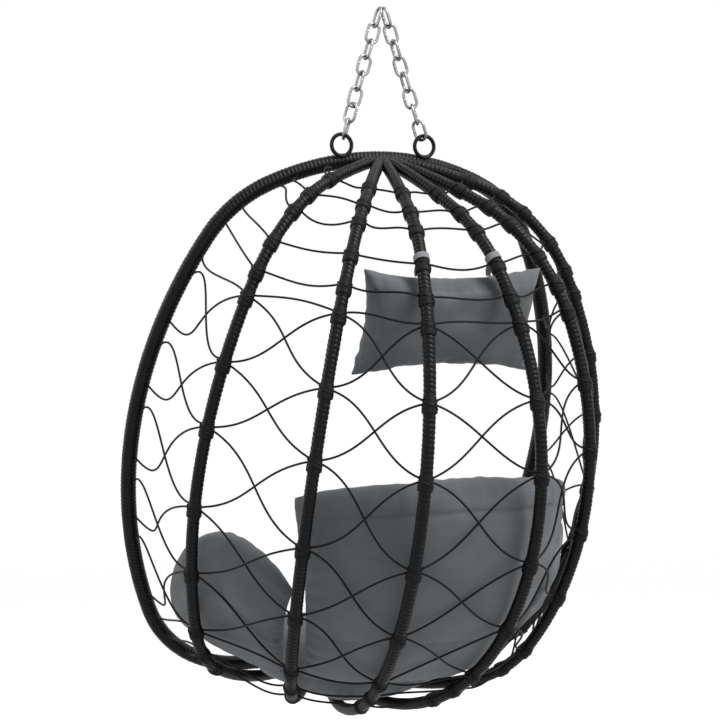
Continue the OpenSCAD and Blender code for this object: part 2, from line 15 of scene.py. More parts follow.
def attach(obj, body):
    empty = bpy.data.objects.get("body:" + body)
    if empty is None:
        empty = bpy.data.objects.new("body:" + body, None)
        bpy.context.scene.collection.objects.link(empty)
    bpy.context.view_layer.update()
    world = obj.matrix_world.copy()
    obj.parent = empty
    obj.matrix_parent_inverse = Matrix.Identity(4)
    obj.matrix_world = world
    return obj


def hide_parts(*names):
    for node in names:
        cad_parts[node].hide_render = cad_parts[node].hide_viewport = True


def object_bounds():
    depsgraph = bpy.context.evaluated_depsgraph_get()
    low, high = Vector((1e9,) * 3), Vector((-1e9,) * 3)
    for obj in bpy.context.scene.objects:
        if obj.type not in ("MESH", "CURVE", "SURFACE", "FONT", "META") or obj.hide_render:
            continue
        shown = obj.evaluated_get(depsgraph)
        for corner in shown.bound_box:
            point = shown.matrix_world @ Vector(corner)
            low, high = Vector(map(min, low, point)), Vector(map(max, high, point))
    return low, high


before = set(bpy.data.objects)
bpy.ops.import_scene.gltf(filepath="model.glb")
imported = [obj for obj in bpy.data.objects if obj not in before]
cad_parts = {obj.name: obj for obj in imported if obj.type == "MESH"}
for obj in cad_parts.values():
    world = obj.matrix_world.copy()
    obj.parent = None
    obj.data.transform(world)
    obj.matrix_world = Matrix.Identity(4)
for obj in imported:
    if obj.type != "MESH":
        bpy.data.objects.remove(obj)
CAD_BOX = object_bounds()

bl_info = {
    "name": "Hanging Egg Chair Dresser",
    "version": (1, 0, 0),
    "blender": (4, 5, 0),
    "location": "3D View > Sidebar > Egg Chair",
    "description": "Winds, laces and upholsters the frame of a hanging egg chair",
    "category": "Object",
}

# ---- The basket's measures, as the frame was drawn ----

BASKET_HEIGHT = 1.060
LEAN = math.radians(19.8)
# Crown radius, shoulder radius, shoulder's distance from the axis, how far the side's centre lies beyond
# the line from the shoulder's centre to the corner's, corner radius, corner's distance from the axis and
# base radius, where 0 stands for a straight base
RING_OUTLINE = (0.520, 0.245, 0.118, 0.567, 0.230, 0.160, 0.0)
OUTER_OUTLINE = (0.980, 0.300, 0.120, 0.488, 0.225, 0.229, 0.650)
MIDDLE_OUTLINE = (1.140, 0.355, 0.153, 0.315, 0.290, 0.225, 0.725)
CENTRE_OUTLINE = (1.180, 0.370, 0.168, 0.108, 0.260, 0.163, 1.500)
OUTER_ANGLE, MIDDLE_ANGLE, CENTRE_ANGLE = 33.8, 59.8, 79.0
RIB_COUNT = 6
BAY_COUNT = RIB_COUNT + 1

RING_WRAP_R = 0.015
RIB_WRAP_R = 0.012
# The wound cane of the ribs lies a little inside the sleeve that stands for it
RIB_CANE_R = 0.0114
CORD_D = 0.004
KNOT_LENGTH = 0.042
KNOT_RISE = 0.003
# How far below the cane's surface a knot's turns start, and how much they swell beyond KNOT_RISE
KNOT_SINK, KNOT_OVER = 0.0008, 0.0006
# The two turns that cross over a knot: how far they reach from their middle, round the rib and along it, and
# how far down the rib their middle lies from the knot's
CROSSING_ROUND, CROSSING_ALONG, CROSSING_DROP = math.radians(118), 0.011, 0.004
# Rows of knots, as shares of a rib's length from the crown
KNOT_ROWS = (0.10, 0.14, 0.171, 0.217, 0.254, 0.284, 0.359, 0.432, 0.524, 0.606, 0.686, 0.726, 0.766)
FIRST_CROSS, LAST_CROSS = 5, 10
# Places on the front ring, along it from the crown: rows, turns of the crossing cords, and rows at the foot
RING_ROWS = (0.123, 0.180, 0.232, 0.296, 0.344, 0.416)
RING_TURNS = (0.468, 0.586, 0.717, 0.865, 0.987, 1.160)
TURN_HALF = 0.030
RING_FOOT_ROWS = (1.185, 1.240, 1.300)

LINK_COUNT = 8
LINK_WIRE = 0.0058
LINK_INSIDE_L = 0.032
LINK_INSIDE_W = 0.0174
LINK_PLAY = 0.0004
TOP_GAP = 0.009
EYE_X = 0.086
EYE_INSIDE_D = 0.033
EYE_WIRE = 0.0075
EYE_RISE = 0.031
EYE_BACK = 0.013

PITCH = LINK_INSIDE_L - LINK_PLAY
CHAIN_L = LINK_COUNT * PITCH - LINK_PLAY + EYE_INSIDE_D / 2
CHAIN_ANGLE = math.asin((EYE_X - TOP_GAP / 2) / CHAIN_L)
EYE_Z = -CHAIN_L * math.cos(CHAIN_ANGLE)

UP = np.array([0.0, math.sin(LEAN), math.cos(LEAN)])
BACK = np.array([0.0, math.cos(LEAN), -math.sin(LEAN)])
SIDEWAYS = np.array([1.0, 0.0, 0.0])
RING_AT_EYE = BASKET_HEIGHT - RING_OUTLINE[0] + math.sqrt(RING_OUTLINE[0] ** 2 - EYE_X**2)
HUB = np.array([0.0, -RING_AT_EYE * UP[1] - EYE_BACK, -RING_AT_EYE * UP[2] - EYE_RISE + EYE_Z])

# Where the view is taken from: the camera's direction and roll in degrees, its place and its lens
VIEW_AZIMUTH, VIEW_ELEVATION, VIEW_ROLL = 155.815, 1.537, -0.789
CAMERA_PLACE = (1.715, 3.698, -0.551)
CAMERA_LENS, SENSOR = 107.658, 36.0
FLOOR_DROP, FLOOR_HALF = 0.62, 12.0
FLOOR_FADE = (3.2, 9.0)
FLOOR_GLOW, SKY_LIGHT = 0.50, 0.48
# Each lamp's name, place, side length and power; all of them face one place in the basket
LAMPS = (
    ("key", (-1.6, 2.6, 1.9), 2.2, 85.0),
    ("top", (-0.9, 1.2, 2.4), 1.6, 60.0),
    ("fill", (2.8, -1.6, 1.0), 2.6, 40.0),
)
LAMP_TARGET = (0.0, -0.1, -0.8)


# ---- Outlines ----


def outline_arcs(outline):
    """Five arcs, each (centre x, centre y, radius, first angle, last angle), from the crown to the base.

    The crown and the base are centred on the axis. The shoulder and the corner touch them from inside,
    and the side is the arc with its centre side_in beyond the line of their centres that they touch from
    inside: with k the difference of their radii, d the distance of their centres, a = (d^2 - k^2) / 2d and
    b = k / d, its radius is the shoulder's and (-ab + sqrt(a^2 b^2 + (1 - b^2)(a^2 + side_in^2))) / (1 - b^2).
    """
    crown_r, shoulder_r, shoulder_x, side_in, corner_r, corner_x, base_r = outline
    crown = np.array([0.0, BASKET_HEIGHT - crown_r])
    shoulder = crown + [shoulder_x, math.sqrt((crown_r - shoulder_r) ** 2 - shoulder_x**2)]
    base = np.array([0.0, base_r])
    drop = math.sqrt((base_r - corner_r) ** 2 - corner_x**2) if base_r else -corner_r
    corner = np.array([corner_x, base_r - drop])
    apart = np.linalg.norm(corner - shoulder)
    e = (corner - shoulder) / apart
    a = (apart**2 - (shoulder_r - corner_r) ** 2) / (2 * apart)
    b = (shoulder_r - corner_r) / apart
    more = (-a * b + math.sqrt(a * a * b * b + (1 - b * b) * (a * a + side_in**2))) / (1 - b * b)
    side_r = shoulder_r + more
    side = shoulder + (a - b * more) * e + side_in * np.array([e[1], -e[0]])

    def heading(start, end):
        return math.atan2(end[1] - start[1], end[0] - start[0])

    turns = [
        math.pi / 2,
        heading(crown, shoulder),
        heading(side, shoulder),
        heading(side, corner),
        heading(base, corner) if base_r else -math.pi / 2,
        -math.pi / 2,
    ]
    centres = (crown, shoulder, side, corner, base)
    radii = (crown_r, shoulder_r, side_r, corner_r, base_r)
    return np.array([(c[0], c[1], r, turns[k], turns[k + 1]) for k, (c, r) in enumerate(zip(centres, radii))])


def outline_length(arcs):
    """Sum of radius times angle turned."""
    return float((arcs[:, 2] * (arcs[:, 3] - arcs[:, 4])).sum())


def along(arcs, distance):
    """(distance from the axis, height, angle of the outward normal) at lengths from the crown.

    The arc is the last one that starts before the length; the angle falls by length over radius along it.
    """
    lengths = arcs[:, 2] * (arcs[:, 3] - arcs[:, 4])
    starts = np.concatenate([[0.0], np.cumsum(lengths)[:-1]])
    k = np.clip(np.searchsorted(starts, distance, side="right") - 1, 0, int((lengths > 0).sum()) - 1)
    angle = arcs[k, 3] - (distance - starts[k]) / arcs[k, 2]
    return arcs[k, 0] + arcs[k, 2] * np.cos(angle), arcs[k, 1] + arcs[k, 2] * np.sin(angle), angle


def outward_at(angle):
    """Unit vector square to the leaning axis, at an angle round it in degrees."""
    a = np.radians(angle)
    return np.cos(a)[..., None] * SIDEWAYS + np.sin(a)[..., None] * BACK


def on_basket(x, y, angle):
    """Hub + y along the leaning axis + x outward at the angle."""
    x, y, angle = np.broadcast_arrays(*(np.asarray(v, float) for v in (x, y, angle)))
    return HUB + y[..., None] * UP + x[..., None] * outward_at(angle)


RING_ARCS = outline_arcs(RING_OUTLINE)
RIB_ARCS = [
    outline_arcs(o)
    for o in (OUTER_OUTLINE, MIDDLE_OUTLINE, CENTRE_OUTLINE, CENTRE_OUTLINE, MIDDLE_OUTLINE, OUTER_OUTLINE)
]
SIDE_ANGLES = [OUTER_ANGLE, MIDDLE_ANGLE, CENTRE_ANGLE]
RIB_ANGLES = SIDE_ANGLES + [180 - angle for angle in reversed(SIDE_ANGLES)]
RING_HALF_ARCS = outline_length(RING_ARCS)
RING_LENGTH = 2 * (RING_HALF_ARCS + RING_OUTLINE[5])


def rib_path(rib):
    """Path of a rib: place, outward normal and the direction round the basket, at lengths from the crown."""
    arcs = RIB_ARCS[rib - 1]
    angle = RIB_ANGLES[rib - 1]
    out = outward_at(np.array(angle))
    side = np.cross(UP, out)

    def path(s):
        x, y, a = along(arcs, s)
        normal = np.cos(a)[..., None] * out + np.sin(a)[..., None] * UP
        return on_basket(x, y, angle), normal, np.broadcast_to(side, normal.shape)

    return path


def ring_path(s):
    """Path of the closed ring: down its +X side, along the straight base, and up its -X side, its mirror."""
    s = np.mod(s, RING_LENGTH)
    mirrored = s > RING_LENGTH / 2
    d = np.where(mirrored, RING_LENGTH - s, s)
    x, y, a = along(RING_ARCS, np.minimum(d, RING_HALF_ARCS))
    x = x - np.maximum(0.0, d - RING_HALF_ARCS)
    sign = np.where(mirrored, -1.0, 1.0)
    centre = HUB + y[..., None] * UP + (sign * x)[..., None] * SIDEWAYS
    normal = (sign * np.cos(a))[..., None] * SIDEWAYS + np.sin(a)[..., None] * UP
    return centre, normal, np.broadcast_to(BACK, normal.shape)


# ---- Meshes ----


def new_object(name, points, faces, uvs=None, smooth=True):
    """A mesh object at the origin from an (n, 3) array of points and a list of face arrays.

    The faces are turned round where the solid's signed volume, the sum of its tetrahedra to the origin,
    comes out negative. uvs is one (corners, 2) array for each face array.
    """
    volume = 0.0
    for f in faces:
        for k in range(1, f.shape[1] - 1):
            a, b, c = points[f[:, 0]], points[f[:, k]], points[f[:, k + 1]]
            volume += float(np.einsum("ij,ij->i", a, np.cross(b, c)).sum())
    if volume < 0:
        faces = [f[:, ::-1] for f in faces]
        uvs = None if uvs is None else [u[:, ::-1] for u in uvs]
    mesh = bpy.data.meshes.new(name)
    rows = [row for f in faces for row in f.tolist()]
    mesh.from_pydata(points.tolist(), [], rows)
    if uvs is not None:
        layer = mesh.uv_layers.new(name="UVMap")
        flat = np.concatenate([u.reshape(-1, 2) for u in uvs]).astype(np.float32)
        layer.data.foreach_set("uv", flat.ravel())
    mesh.polygons.foreach_set("use_smooth", np.full(len(mesh.polygons), smooth))
    mesh.update()
    obj = bpy.data.objects.new(name, mesh)
    bpy.context.scene.collection.objects.link(obj)
    return obj


def corner_uvs(u0, u1, v0, v1):
    """UVs of a grid's quads as a (quads, 4, 2) array, from arrays of U and V at their edges."""
    corners = [np.stack(pair, -1) for pair in ((u0, v0), (u1, v0), (u1, v1), (u0, v1))]
    return np.stack(corners, -2).reshape(-1, 4, 2)


def merged_faces(quads, uvs):
    """Quads whose corners meet in one point become triangles, and those with no area left are dropped."""
    meets = quads == np.roll(quads, -1, axis=1)
    count = meets.sum(1)
    whole = count == 0
    three = count == 1
    keep = ~meets[three]
    tri = quads[three][keep].reshape(-1, 3)
    tri_uv = uvs[three][keep].reshape(-1, 3, 2)
    return [quads[whole], tri], [uvs[whole], tri_uv]


def used_only(points, faces):
    """Drops the points that no face uses."""
    flat = np.concatenate([f.ravel() for f in faces])
    kept, inverse = np.unique(flat, return_inverse=True)
    out, at = [], 0
    for f in faces:
        out.append(inverse[at : at + f.size].reshape(f.shape))
        at += f.size
    return points[kept], out


# Where the rows of points lie across one turn of the strip, closer together at its edges, and across one turn
# of cord in a knot
TURN_PHASES = np.array([0.0, 0.07, 0.18, 0.34, 0.5, 0.66, 0.82, 0.93])
CORD_PHASES = np.array([0.0, 0.12, 0.35, 0.65, 0.88])


def wound_tube(path, start, length, radius, pitch, relief, sides, closed=False, round_end=0.004,
               overlap=0.25, jitter=0.0, seed=1, phases=TURN_PHASES):
    """A tube wound with one strip, as one grid that follows the strip's helix.

    A point's length along the path is pitch * (turn + phase + angle / 360), so that a row of points keeps its
    place across the strip. Its radius is radius - relief * |2 phase - 1|^3, plus a slope of overlap * relief
    across the strip. Open ends close in a pole, on a quarter ellipse round_end long. radius may be a function
    of the share of the length. jitter moves the turns along and out by a small random share of the pitch.
    """
    rng = np.random.default_rng(seed)
    turns = max(2, round(length / pitch))
    pitch = length / turns
    m = len(phases)
    extra = 0 if closed else 1
    rows = (turns + extra) * m + extra
    j = np.arange(rows) - extra * m
    turn = j // m
    phase = phases[j % m]
    i = np.arange(sides)
    t = turn[:, None] + phase[:, None] + i[None, :] / sides
    count = turns + 3
    shift = rng.normal(0, jitter, count)
    swell = rng.normal(0, jitter, count)
    if closed:
        shift[-3:] = shift[:3]
        swell[-3:] = swell[:3]
    known = np.arange(count)
    whole = turn[:, None] + i[None, :] / sides + 1
    s = pitch * (t + np.interp(whole, known, shift) * 0.6)
    clipped = s if closed else np.clip(s, 0.0, length)
    share = clipped / length
    base = radius(share) if callable(radius) else radius
    edge = np.abs(2 * phase - 1)[:, None] ** 3
    r = base - relief * edge + overlap * relief * (phase[:, None] - 0.5)
    r = r + np.interp(whole, known, swell) * relief * 2
    if not closed:
        near = np.minimum(clipped, length - clipped) / round_end
        r = r * np.sqrt(np.clip(1 - (1 - np.minimum(near, 1.0)) ** 2, 0.0, 1.0))
    centre, normal, side = path(start + clipped)
    angle = 2 * math.pi * i / sides
    cos, sin = np.cos(angle)[None, :, None], np.sin(angle)[None, :, None]
    points = centre + r[..., None] * (cos * normal + sin * side)
    index = np.arange(rows * sides).reshape(rows, sides)
    top = rows * sides - 1
    if not closed:
        index = np.where(s <= 0, 0, np.where(s >= length, top, index))
    upper = np.roll(index, -m, axis=0) if closed else np.vstack([index[m:], np.full((m, sides), top)])
    right = np.concatenate([index[:, 1:], upper[:, :1]], axis=1)
    if closed:
        quads = np.stack([index, right, np.roll(right, -1, 0), np.roll(index, -1, 0)], -1)
        row = np.arange(rows)
    else:
        quads = np.stack([index[:-1], right[:-1], right[1:], index[1:]], -1)
        row = np.arange(rows - 1)
    quads = quads.reshape(-1, 4)
    # U runs once round the tube, and V counts the turns
    next_phase = np.append(phases[1:], 1.0)
    v0 = (row // m + phases[row % m])[:, None] + 0 * i[None, :]
    v1 = (row // m + next_phase[row % m])[:, None] + 0 * i[None, :]
    u0 = np.broadcast_to(i / sides, v0.shape)
    faces, uvs = merged_faces(quads, corner_uvs(u0, u0 + 1 / sides, v0, v1))
    points, faces = used_only(points.reshape(-1, 3), faces)
    return points, faces, uvs


def cords(lines, radius, sides=8, out=None):
    """Round cords along (cords, points, 3) lines, closed at both ends by fans round a pole.

    A ring of points lies square to each place of a line: radius * (cos a * o + sin a * w), where w is square
    to the line and to the direction out, and o to both. U counts round the cord and V along it in metres.
    """
    n, k, _ = lines.shape
    step = np.gradient(lines, axis=1)
    step /= np.linalg.norm(step, axis=2, keepdims=True)
    w = np.cross(step, out if out is not None else UP)
    w /= np.linalg.norm(w, axis=2, keepdims=True)
    o = np.cross(w, step)
    a = 2 * math.pi * np.arange(sides) / sides
    ring = np.cos(a)[None, None, :, None] * o[:, :, None] + np.sin(a)[None, None, :, None] * w[:, :, None]
    points = lines[:, :, None] + radius * ring
    index = np.arange(n * k * sides).reshape(n, k, sides)
    ahead = np.roll(index, -1, 2)
    quads = np.stack([index[:, :-1], ahead[:, :-1], ahead[:, 1:], index[:, 1:]], -1).reshape(-1, 4)
    first = n * k * sides + np.arange(n)
    last = first + n
    poles = np.concatenate([lines[:, 0], lines[:, -1]])
    first, last = (np.broadcast_to(pole[:, None], (n, sides)) for pole in (first, last))
    near = np.stack([first, ahead[:, 0], index[:, 0]], -1).reshape(-1, 3)
    far = np.stack([last, index[:, -1], ahead[:, -1]], -1).reshape(-1, 3)
    length = np.concatenate(
        [np.zeros((n, 1)), np.cumsum(np.linalg.norm(np.diff(lines, axis=1), axis=2), axis=1)], axis=1)
    u = np.arange(sides) / sides
    v0 = np.broadcast_to(length[:, :-1, None], (n, k - 1, sides))
    v1 = np.broadcast_to(length[:, 1:, None], (n, k - 1, sides))
    u0 = np.broadcast_to(u, v0.shape)
    quad_uv = corner_uvs(u0, u0 + 1 / sides, v0, v1)
    tri_uv = np.zeros((2 * n * sides, 3, 2))
    points = np.concatenate([points.reshape(-1, 3), poles])
    return points, [quads, np.concatenate([near, far])], [quad_uv, tri_uv]


def curve_points(p, a, b, q, count):
    """Cubic curves from p to q with handles a and b, as a (curves, count, 3) array."""
    t = np.linspace(0, 1, count)[None, :, None]
    p, a, b, q = (v[:, None] for v in (p, a, b, q))
    return (1 - t) ** 3 * p + 3 * t * (1 - t) ** 2 * a + 3 * t * t * (1 - t) * b + t**3 * q


def joined(parts):
    """One set of points, faces and UVs from several."""
    points, faces, uvs, at = [], {}, {}, 0
    for p, fs, us in parts:
        points.append(p)
        for f, u in zip(fs, us):
            faces.setdefault(f.shape[1], []).append(f + at)
            uvs.setdefault(f.shape[1], []).append(u)
        at += len(p)
    sizes = sorted(faces)
    return (np.concatenate(points), [np.concatenate(faces[n]) for n in sizes],
            [np.concatenate(uvs[n]) for n in sizes])


def unit(v):
    """v over its length."""
    v = np.asarray(v, float)
    return v / np.linalg.norm(v, axis=-1, keepdims=True)


def dress(obj, body, slot, material, *nodes):
    """Gives a piece its material and its body, and hides the nodes that it stands for; the slot is not used.
    """
    obj.data.materials.append(material)
    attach(obj, body)
    if nodes:
        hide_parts(*nodes)
    return obj


# ---- Materials ----


# Distance between the columns of a node tree and between its rows, and the range where noises mostly lie
NODE_COLUMN, NODE_ROW = 200, -180
NOISE_LOW, NOISE_HIGH = 0.3, 0.7


def new_group(name, inputs, outputs):
    """A shader node group with its sockets made, and its two end nodes."""
    group = bpy.data.node_groups.new(name, "ShaderNodeTree")
    for socket, kind, value in inputs:
        made = group.interface.new_socket(socket, in_out="INPUT", socket_type=kind)
        if value is not None:
            made.default_value = value
    for socket, kind in outputs:
        group.interface.new_socket(socket, in_out="OUTPUT", socket_type=kind)
    return group, group.nodes.new("NodeGroupInput"), group.nodes.new("NodeGroupOutput")


def add(tree, kind, place, **values):
    """A node at a place in the tree, with its properties and its inputs' values set by name or number."""
    node = tree.nodes.new("ShaderNode" + kind)
    node.location = (NODE_COLUMN * place[0], NODE_ROW * place[1])
    for key, value in values.items():
        if hasattr(node, key):
            setattr(node, key, value)
        else:
            node.inputs[key.replace("_", " ")].default_value = value
    return node


def maths(tree, place, operation, a, b=0.0, c=None):
    """A Math node whose inputs are numbers or other nodes' outputs."""
    node = add(tree, "Math", place, operation=operation)
    for k, value in enumerate((a, b) if c is None else (a, b, c)):
        if isinstance(value, bpy.types.NodeSocket):
            tree.links.new(value, node.inputs[k])
        else:
            node.inputs[k].default_value = value
    return node.outputs[0]


def streaks_group():
    """Fine streaks along a strip: noise stretched along U, for tone and height."""
    group, start, end = new_group(
        "Strip Streaks",
        [("Vector", "NodeSocketVector", None), ("Fineness", "NodeSocketFloat", 40.0)],
        [("Tone", "NodeSocketFloat"), ("Height", "NodeSocketFloat")],
    )
    stretch = add(group, "Mapping", (1, 0))
    stretch.inputs["Scale"].default_value = (6.0, 1.0, 1.0)
    fine = add(group, "TexNoise", (2, 0), Detail=3.0, Roughness=0.6)
    broad = add(group, "TexNoise", (2, 1), Scale=1.7, Detail=2.0, Roughness=0.5)
    link = group.links.new
    link(start.outputs["Vector"], stretch.inputs["Vector"])
    link(stretch.outputs[0], fine.inputs["Vector"])
    link(start.outputs["Fineness"], fine.inputs["Scale"])
    link(start.outputs["Vector"], broad.inputs["Vector"])
    half = maths(group, (3, 1), "MULTIPLY", broad.outputs[0], 0.5)
    link(maths(group, (3, 0), "MULTIPLY_ADD", fine.outputs[0], 0.5, half), end.inputs["Tone"])
    link(fine.outputs[0], end.inputs["Height"])
    return group


def wear_group():
    """Patches where a surface is rubbed or dusty: two noises of the place on the object, as a soft mask."""
    group, start, end = new_group(
        "Rubbed Patches",
        [("Vector", "NodeSocketVector", None), ("Scale", "NodeSocketFloat", 12.0)],
        [("Mask", "NodeSocketFloat"), ("Grain", "NodeSocketFloat")],
    )
    large = add(group, "TexNoise", (1, 0), Detail=4.0, Roughness=0.62)
    small = add(group, "TexNoise", (1, 1), Scale=220.0, Detail=2.0, Roughness=0.5)
    ramp = add(group, "MapRange", (3, 0), interpolation_type="SMOOTHSTEP")
    ramp.inputs["From Min"].default_value = 0.42
    ramp.inputs["From Max"].default_value = 0.72
    link = group.links.new
    link(start.outputs["Vector"], large.inputs["Vector"])
    link(start.outputs["Scale"], large.inputs["Scale"])
    link(start.outputs["Vector"], small.inputs["Vector"])
    link(large.outputs[0], ramp.inputs["Value"])
    link(ramp.outputs[0], end.inputs["Mask"])
    link(small.outputs[0], end.inputs["Grain"])
    return group


def weave_group():
    """Plain weave: the product of two sets of sine threads, with one thread over the other in turn."""
    group, start, end = new_group(
        "Plain Weave",
        [("Vector", "NodeSocketVector", None), ("Threads", "NodeSocketFloat", 900.0)],
        [("Height", "NodeSocketFloat"), ("Slub", "NodeSocketFloat")],
    )
    link = group.links.new
    scaled = add(group, "VectorMath", (1, 0), operation="SCALE")
    link(start.outputs["Vector"], scaled.inputs[0])
    link(start.outputs["Threads"], scaled.inputs["Scale"])
    split = add(group, "SeparateXYZ", (2, 0))
    link(scaled.outputs[0], split.inputs[0])
    warp = maths(group, (3, 0), "SINE", maths(group, (2, 1), "MULTIPLY", split.outputs["X"], math.pi))
    weft = maths(group, (3, 1), "SINE", maths(group, (2, 2), "MULTIPLY", split.outputs["Y"], math.pi))
    over = maths(group, (4, 0), "MULTIPLY", warp, weft)
    link(maths(group, (5, 0), "MULTIPLY_ADD", over, 0.5, 0.5), end.inputs["Height"])
    thick = add(group, "Mapping", (3, 3))
    thick.inputs["Scale"].default_value = (0.02, 0.5, 1.0)
    slub = add(group, "TexNoise", (4, 3), Scale=1.0, Detail=2.0, Roughness=0.6)
    link(scaled.outputs[0], thick.inputs["Vector"])
    link(thick.outputs[0], slub.inputs["Vector"])
    link(slub.outputs[0], end.inputs["Slub"])
    return group


GROUPS = {
    "streaks": ("Strip Streaks", streaks_group),
    "wear": ("Rubbed Patches", wear_group),
    "weave": ("Plain Weave", weave_group),
}


def group_node(tree, name, place, **values):
    """A shared effect in a material, made once and placed with its own values."""
    title, make = GROUPS[name]
    known = bpy.data.node_groups.get(title) or make()
    node = tree.nodes.new("ShaderNodeGroup")
    node.node_tree = known
    node.location = (NODE_COLUMN * place[0], NODE_ROW * place[1])
    for key, value in values.items():
        node.inputs[key].default_value = value
    return node


def base_material(name):
    """A material with its tree, its shader and its texture coordinates."""
    material = bpy.data.materials.new(name)
    material.use_nodes = True
    tree = material.node_tree
    shader = tree.nodes["Principled BSDF"]
    shader.location = (1400, 0)
    coordinates = add(tree, "TexCoord", (0, 0))
    return material, tree, shader, coordinates


def shade(tree, place, dark, light, amount, shader_input):
    """A Mix of two colours by a mask, into a colour input."""
    mix = add(tree, "Mix", place, data_type="RGBA")
    mix.inputs[6].default_value = (*dark, 1)
    mix.inputs[7].default_value = (*light, 1)
    tree.links.new(amount, mix.inputs[0])
    tree.links.new(mix.outputs[2], shader_input)
    return mix


def spread(tree, place, value, low, high, shader_input):
    """A Map Range from NOISE_LOW..NOISE_HIGH to low..high, into a value input."""
    node = add(tree, "MapRange", place)
    node.inputs["From Min"].default_value = NOISE_LOW
    node.inputs["From Max"].default_value = NOISE_HIGH
    node.inputs["To Min"].default_value = low
    node.inputs["To Max"].default_value = high
    tree.links.new(value, node.inputs["Value"])
    tree.links.new(node.outputs[0], shader_input)
    return node


def bump(tree, place, height, strength, distance, shader, before=None):
    """A Bump node on the shader's normal."""
    node = add(tree, "Bump", place, Strength=strength, Distance=distance)
    tree.links.new(height, node.inputs["Height"])
    if before:
        tree.links.new(before.outputs[0], node.inputs["Normal"])
    tree.links.new(node.outputs[0], shader.inputs["Normal"])
    return node


def tinted(colour, factor):
    """A colour made lighter or darker."""
    return tuple(min(1.0, c * factor) for c in colour)


def cane_material(colour):
    """Extruded plastic cane: satin, with fine streaks along the strip and lighter in rubbed patches."""
    material, tree, shader, at = base_material("Black Cane")
    streaks = group_node(tree, "streaks", (2, 0), Fineness=9.0)
    wear = group_node(tree, "wear", (2, 2), Scale=14.0)
    tree.links.new(at.outputs["UV"], streaks.inputs["Vector"])
    tree.links.new(at.outputs["Object"], wear.inputs["Vector"])
    mask = maths(tree, (4, 1), "MULTIPLY_ADD", wear.outputs["Mask"], 0.5,
                 maths(tree, (3, 1), "MULTIPLY", streaks.outputs["Tone"], 0.5))
    shade(tree, (5, 0), tinted(colour, 0.72), tinted(colour, 1.5), mask, shader.inputs["Base Color"])
    spread(tree, (5, 2), streaks.outputs["Tone"], 0.24, 0.36, shader.inputs["Roughness"])
    bump(tree, (6, 3), streaks.outputs["Height"], 0.35, 0.0004, shader)
    shader.inputs["Specular IOR Level"].default_value = 0.16
    return material


def cord_material(colour):
    """Smooth round cord: a close twist that barely shows, dusty in patches."""
    material, tree, shader, at = base_material("Black Cord")
    wear = group_node(tree, "wear", (2, 2), Scale=9.0)
    tree.links.new(at.outputs["Object"], wear.inputs["Vector"])
    place = add(tree, "Mapping", (1, 0))
    place.inputs["Scale"].default_value = (1.0, 420.0, 1.0)
    tree.links.new(at.outputs["UV"], place.inputs["Vector"])
    parts = add(tree, "SeparateXYZ", (2, 0))
    tree.links.new(place.outputs[0], parts.inputs[0])
    turned = maths(tree, (3, 0), "MULTIPLY_ADD", parts.outputs["X"], 3.0, parts.outputs["Y"])
    twist = maths(tree, (4, 0), "PINGPONG", turned, 0.5)
    shade(tree, (5, 1), tinted(colour, 0.8), tinted(colour, 1.7), wear.outputs["Mask"],
          shader.inputs["Base Color"])
    spread(tree, (5, 2), wear.outputs["Grain"], 0.42, 0.6, shader.inputs["Roughness"])
    bump(tree, (6, 3), twist, 0.3, 0.0005, shader)
    shader.inputs["Specular IOR Level"].default_value = 0.16
    return material


def steel_material(colour):
    """Powder-coated steel: fine orange peel and a few rubbed places."""
    material, tree, shader, at = base_material("Black Steel")
    wear = group_node(tree, "wear", (2, 0), Scale=30.0)
    tree.links.new(at.outputs["Object"], wear.inputs["Vector"])
    peel = add(tree, "TexNoise", (2, 2), Scale=900.0, Detail=1.0)
    tree.links.new(at.outputs["Object"], peel.inputs["Vector"])
    shade(tree, (5, 0), colour, tinted(colour, 2.0), wear.outputs["Mask"], shader.inputs["Base Color"])
    spread(tree, (5, 2), wear.outputs["Grain"], 0.28, 0.42, shader.inputs["Roughness"])
    shader.inputs["Specular IOR Level"].default_value = 0.2
    bump(tree, (6, 3), peel.outputs[0], 0.25, 0.0003, shader)
    return material


def zinc_material(colour):
    """Bright zinc plating on drawn wire: metal with faint drawing lines, darker in random patches, and a
    painted dark reflection towards the wire's edges as seen from the view.
    """
    material, tree, shader, at = base_material("Zinc Plating")
    wear = group_node(tree, "wear", (2, 0), Scale=60.0)
    streaks = group_node(tree, "streaks", (2, 2), Fineness=14.0)
    tree.links.new(at.outputs["Object"], wear.inputs["Vector"])
    tree.links.new(at.outputs["UV"], streaks.inputs["Vector"])
    worn = shade(tree, (5, 0), colour, tinted(colour, 0.62), wear.outputs["Mask"],
                 shader.inputs["Base Color"])
    # Painted dark reflection: towards the wire's edges as seen from the view, the colour falls to a sixth,
    # standing in for dark surroundings reflected there.
    edge = add(tree, "LayerWeight", (5, 5), Blend=0.45)
    painted_dark_edge_reflection = add(tree, "Mix", (6, 0), data_type="RGBA")
    painted_dark_edge_reflection.inputs[7].default_value = (*tinted(colour, 0.16), 1)
    tree.links.new(edge.outputs["Facing"], painted_dark_edge_reflection.inputs[0])
    tree.links.new(worn.outputs[2], painted_dark_edge_reflection.inputs[6])
    tree.links.new(painted_dark_edge_reflection.outputs[2], shader.inputs["Base Color"])
    spread(tree, (5, 2), streaks.outputs["Tone"], 0.2, 0.42, shader.inputs["Roughness"])
    bump(tree, (6, 3), streaks.outputs["Height"], 0.15, 0.0002, shader)
    shader.inputs["Metallic"].default_value = 1.0
    return material


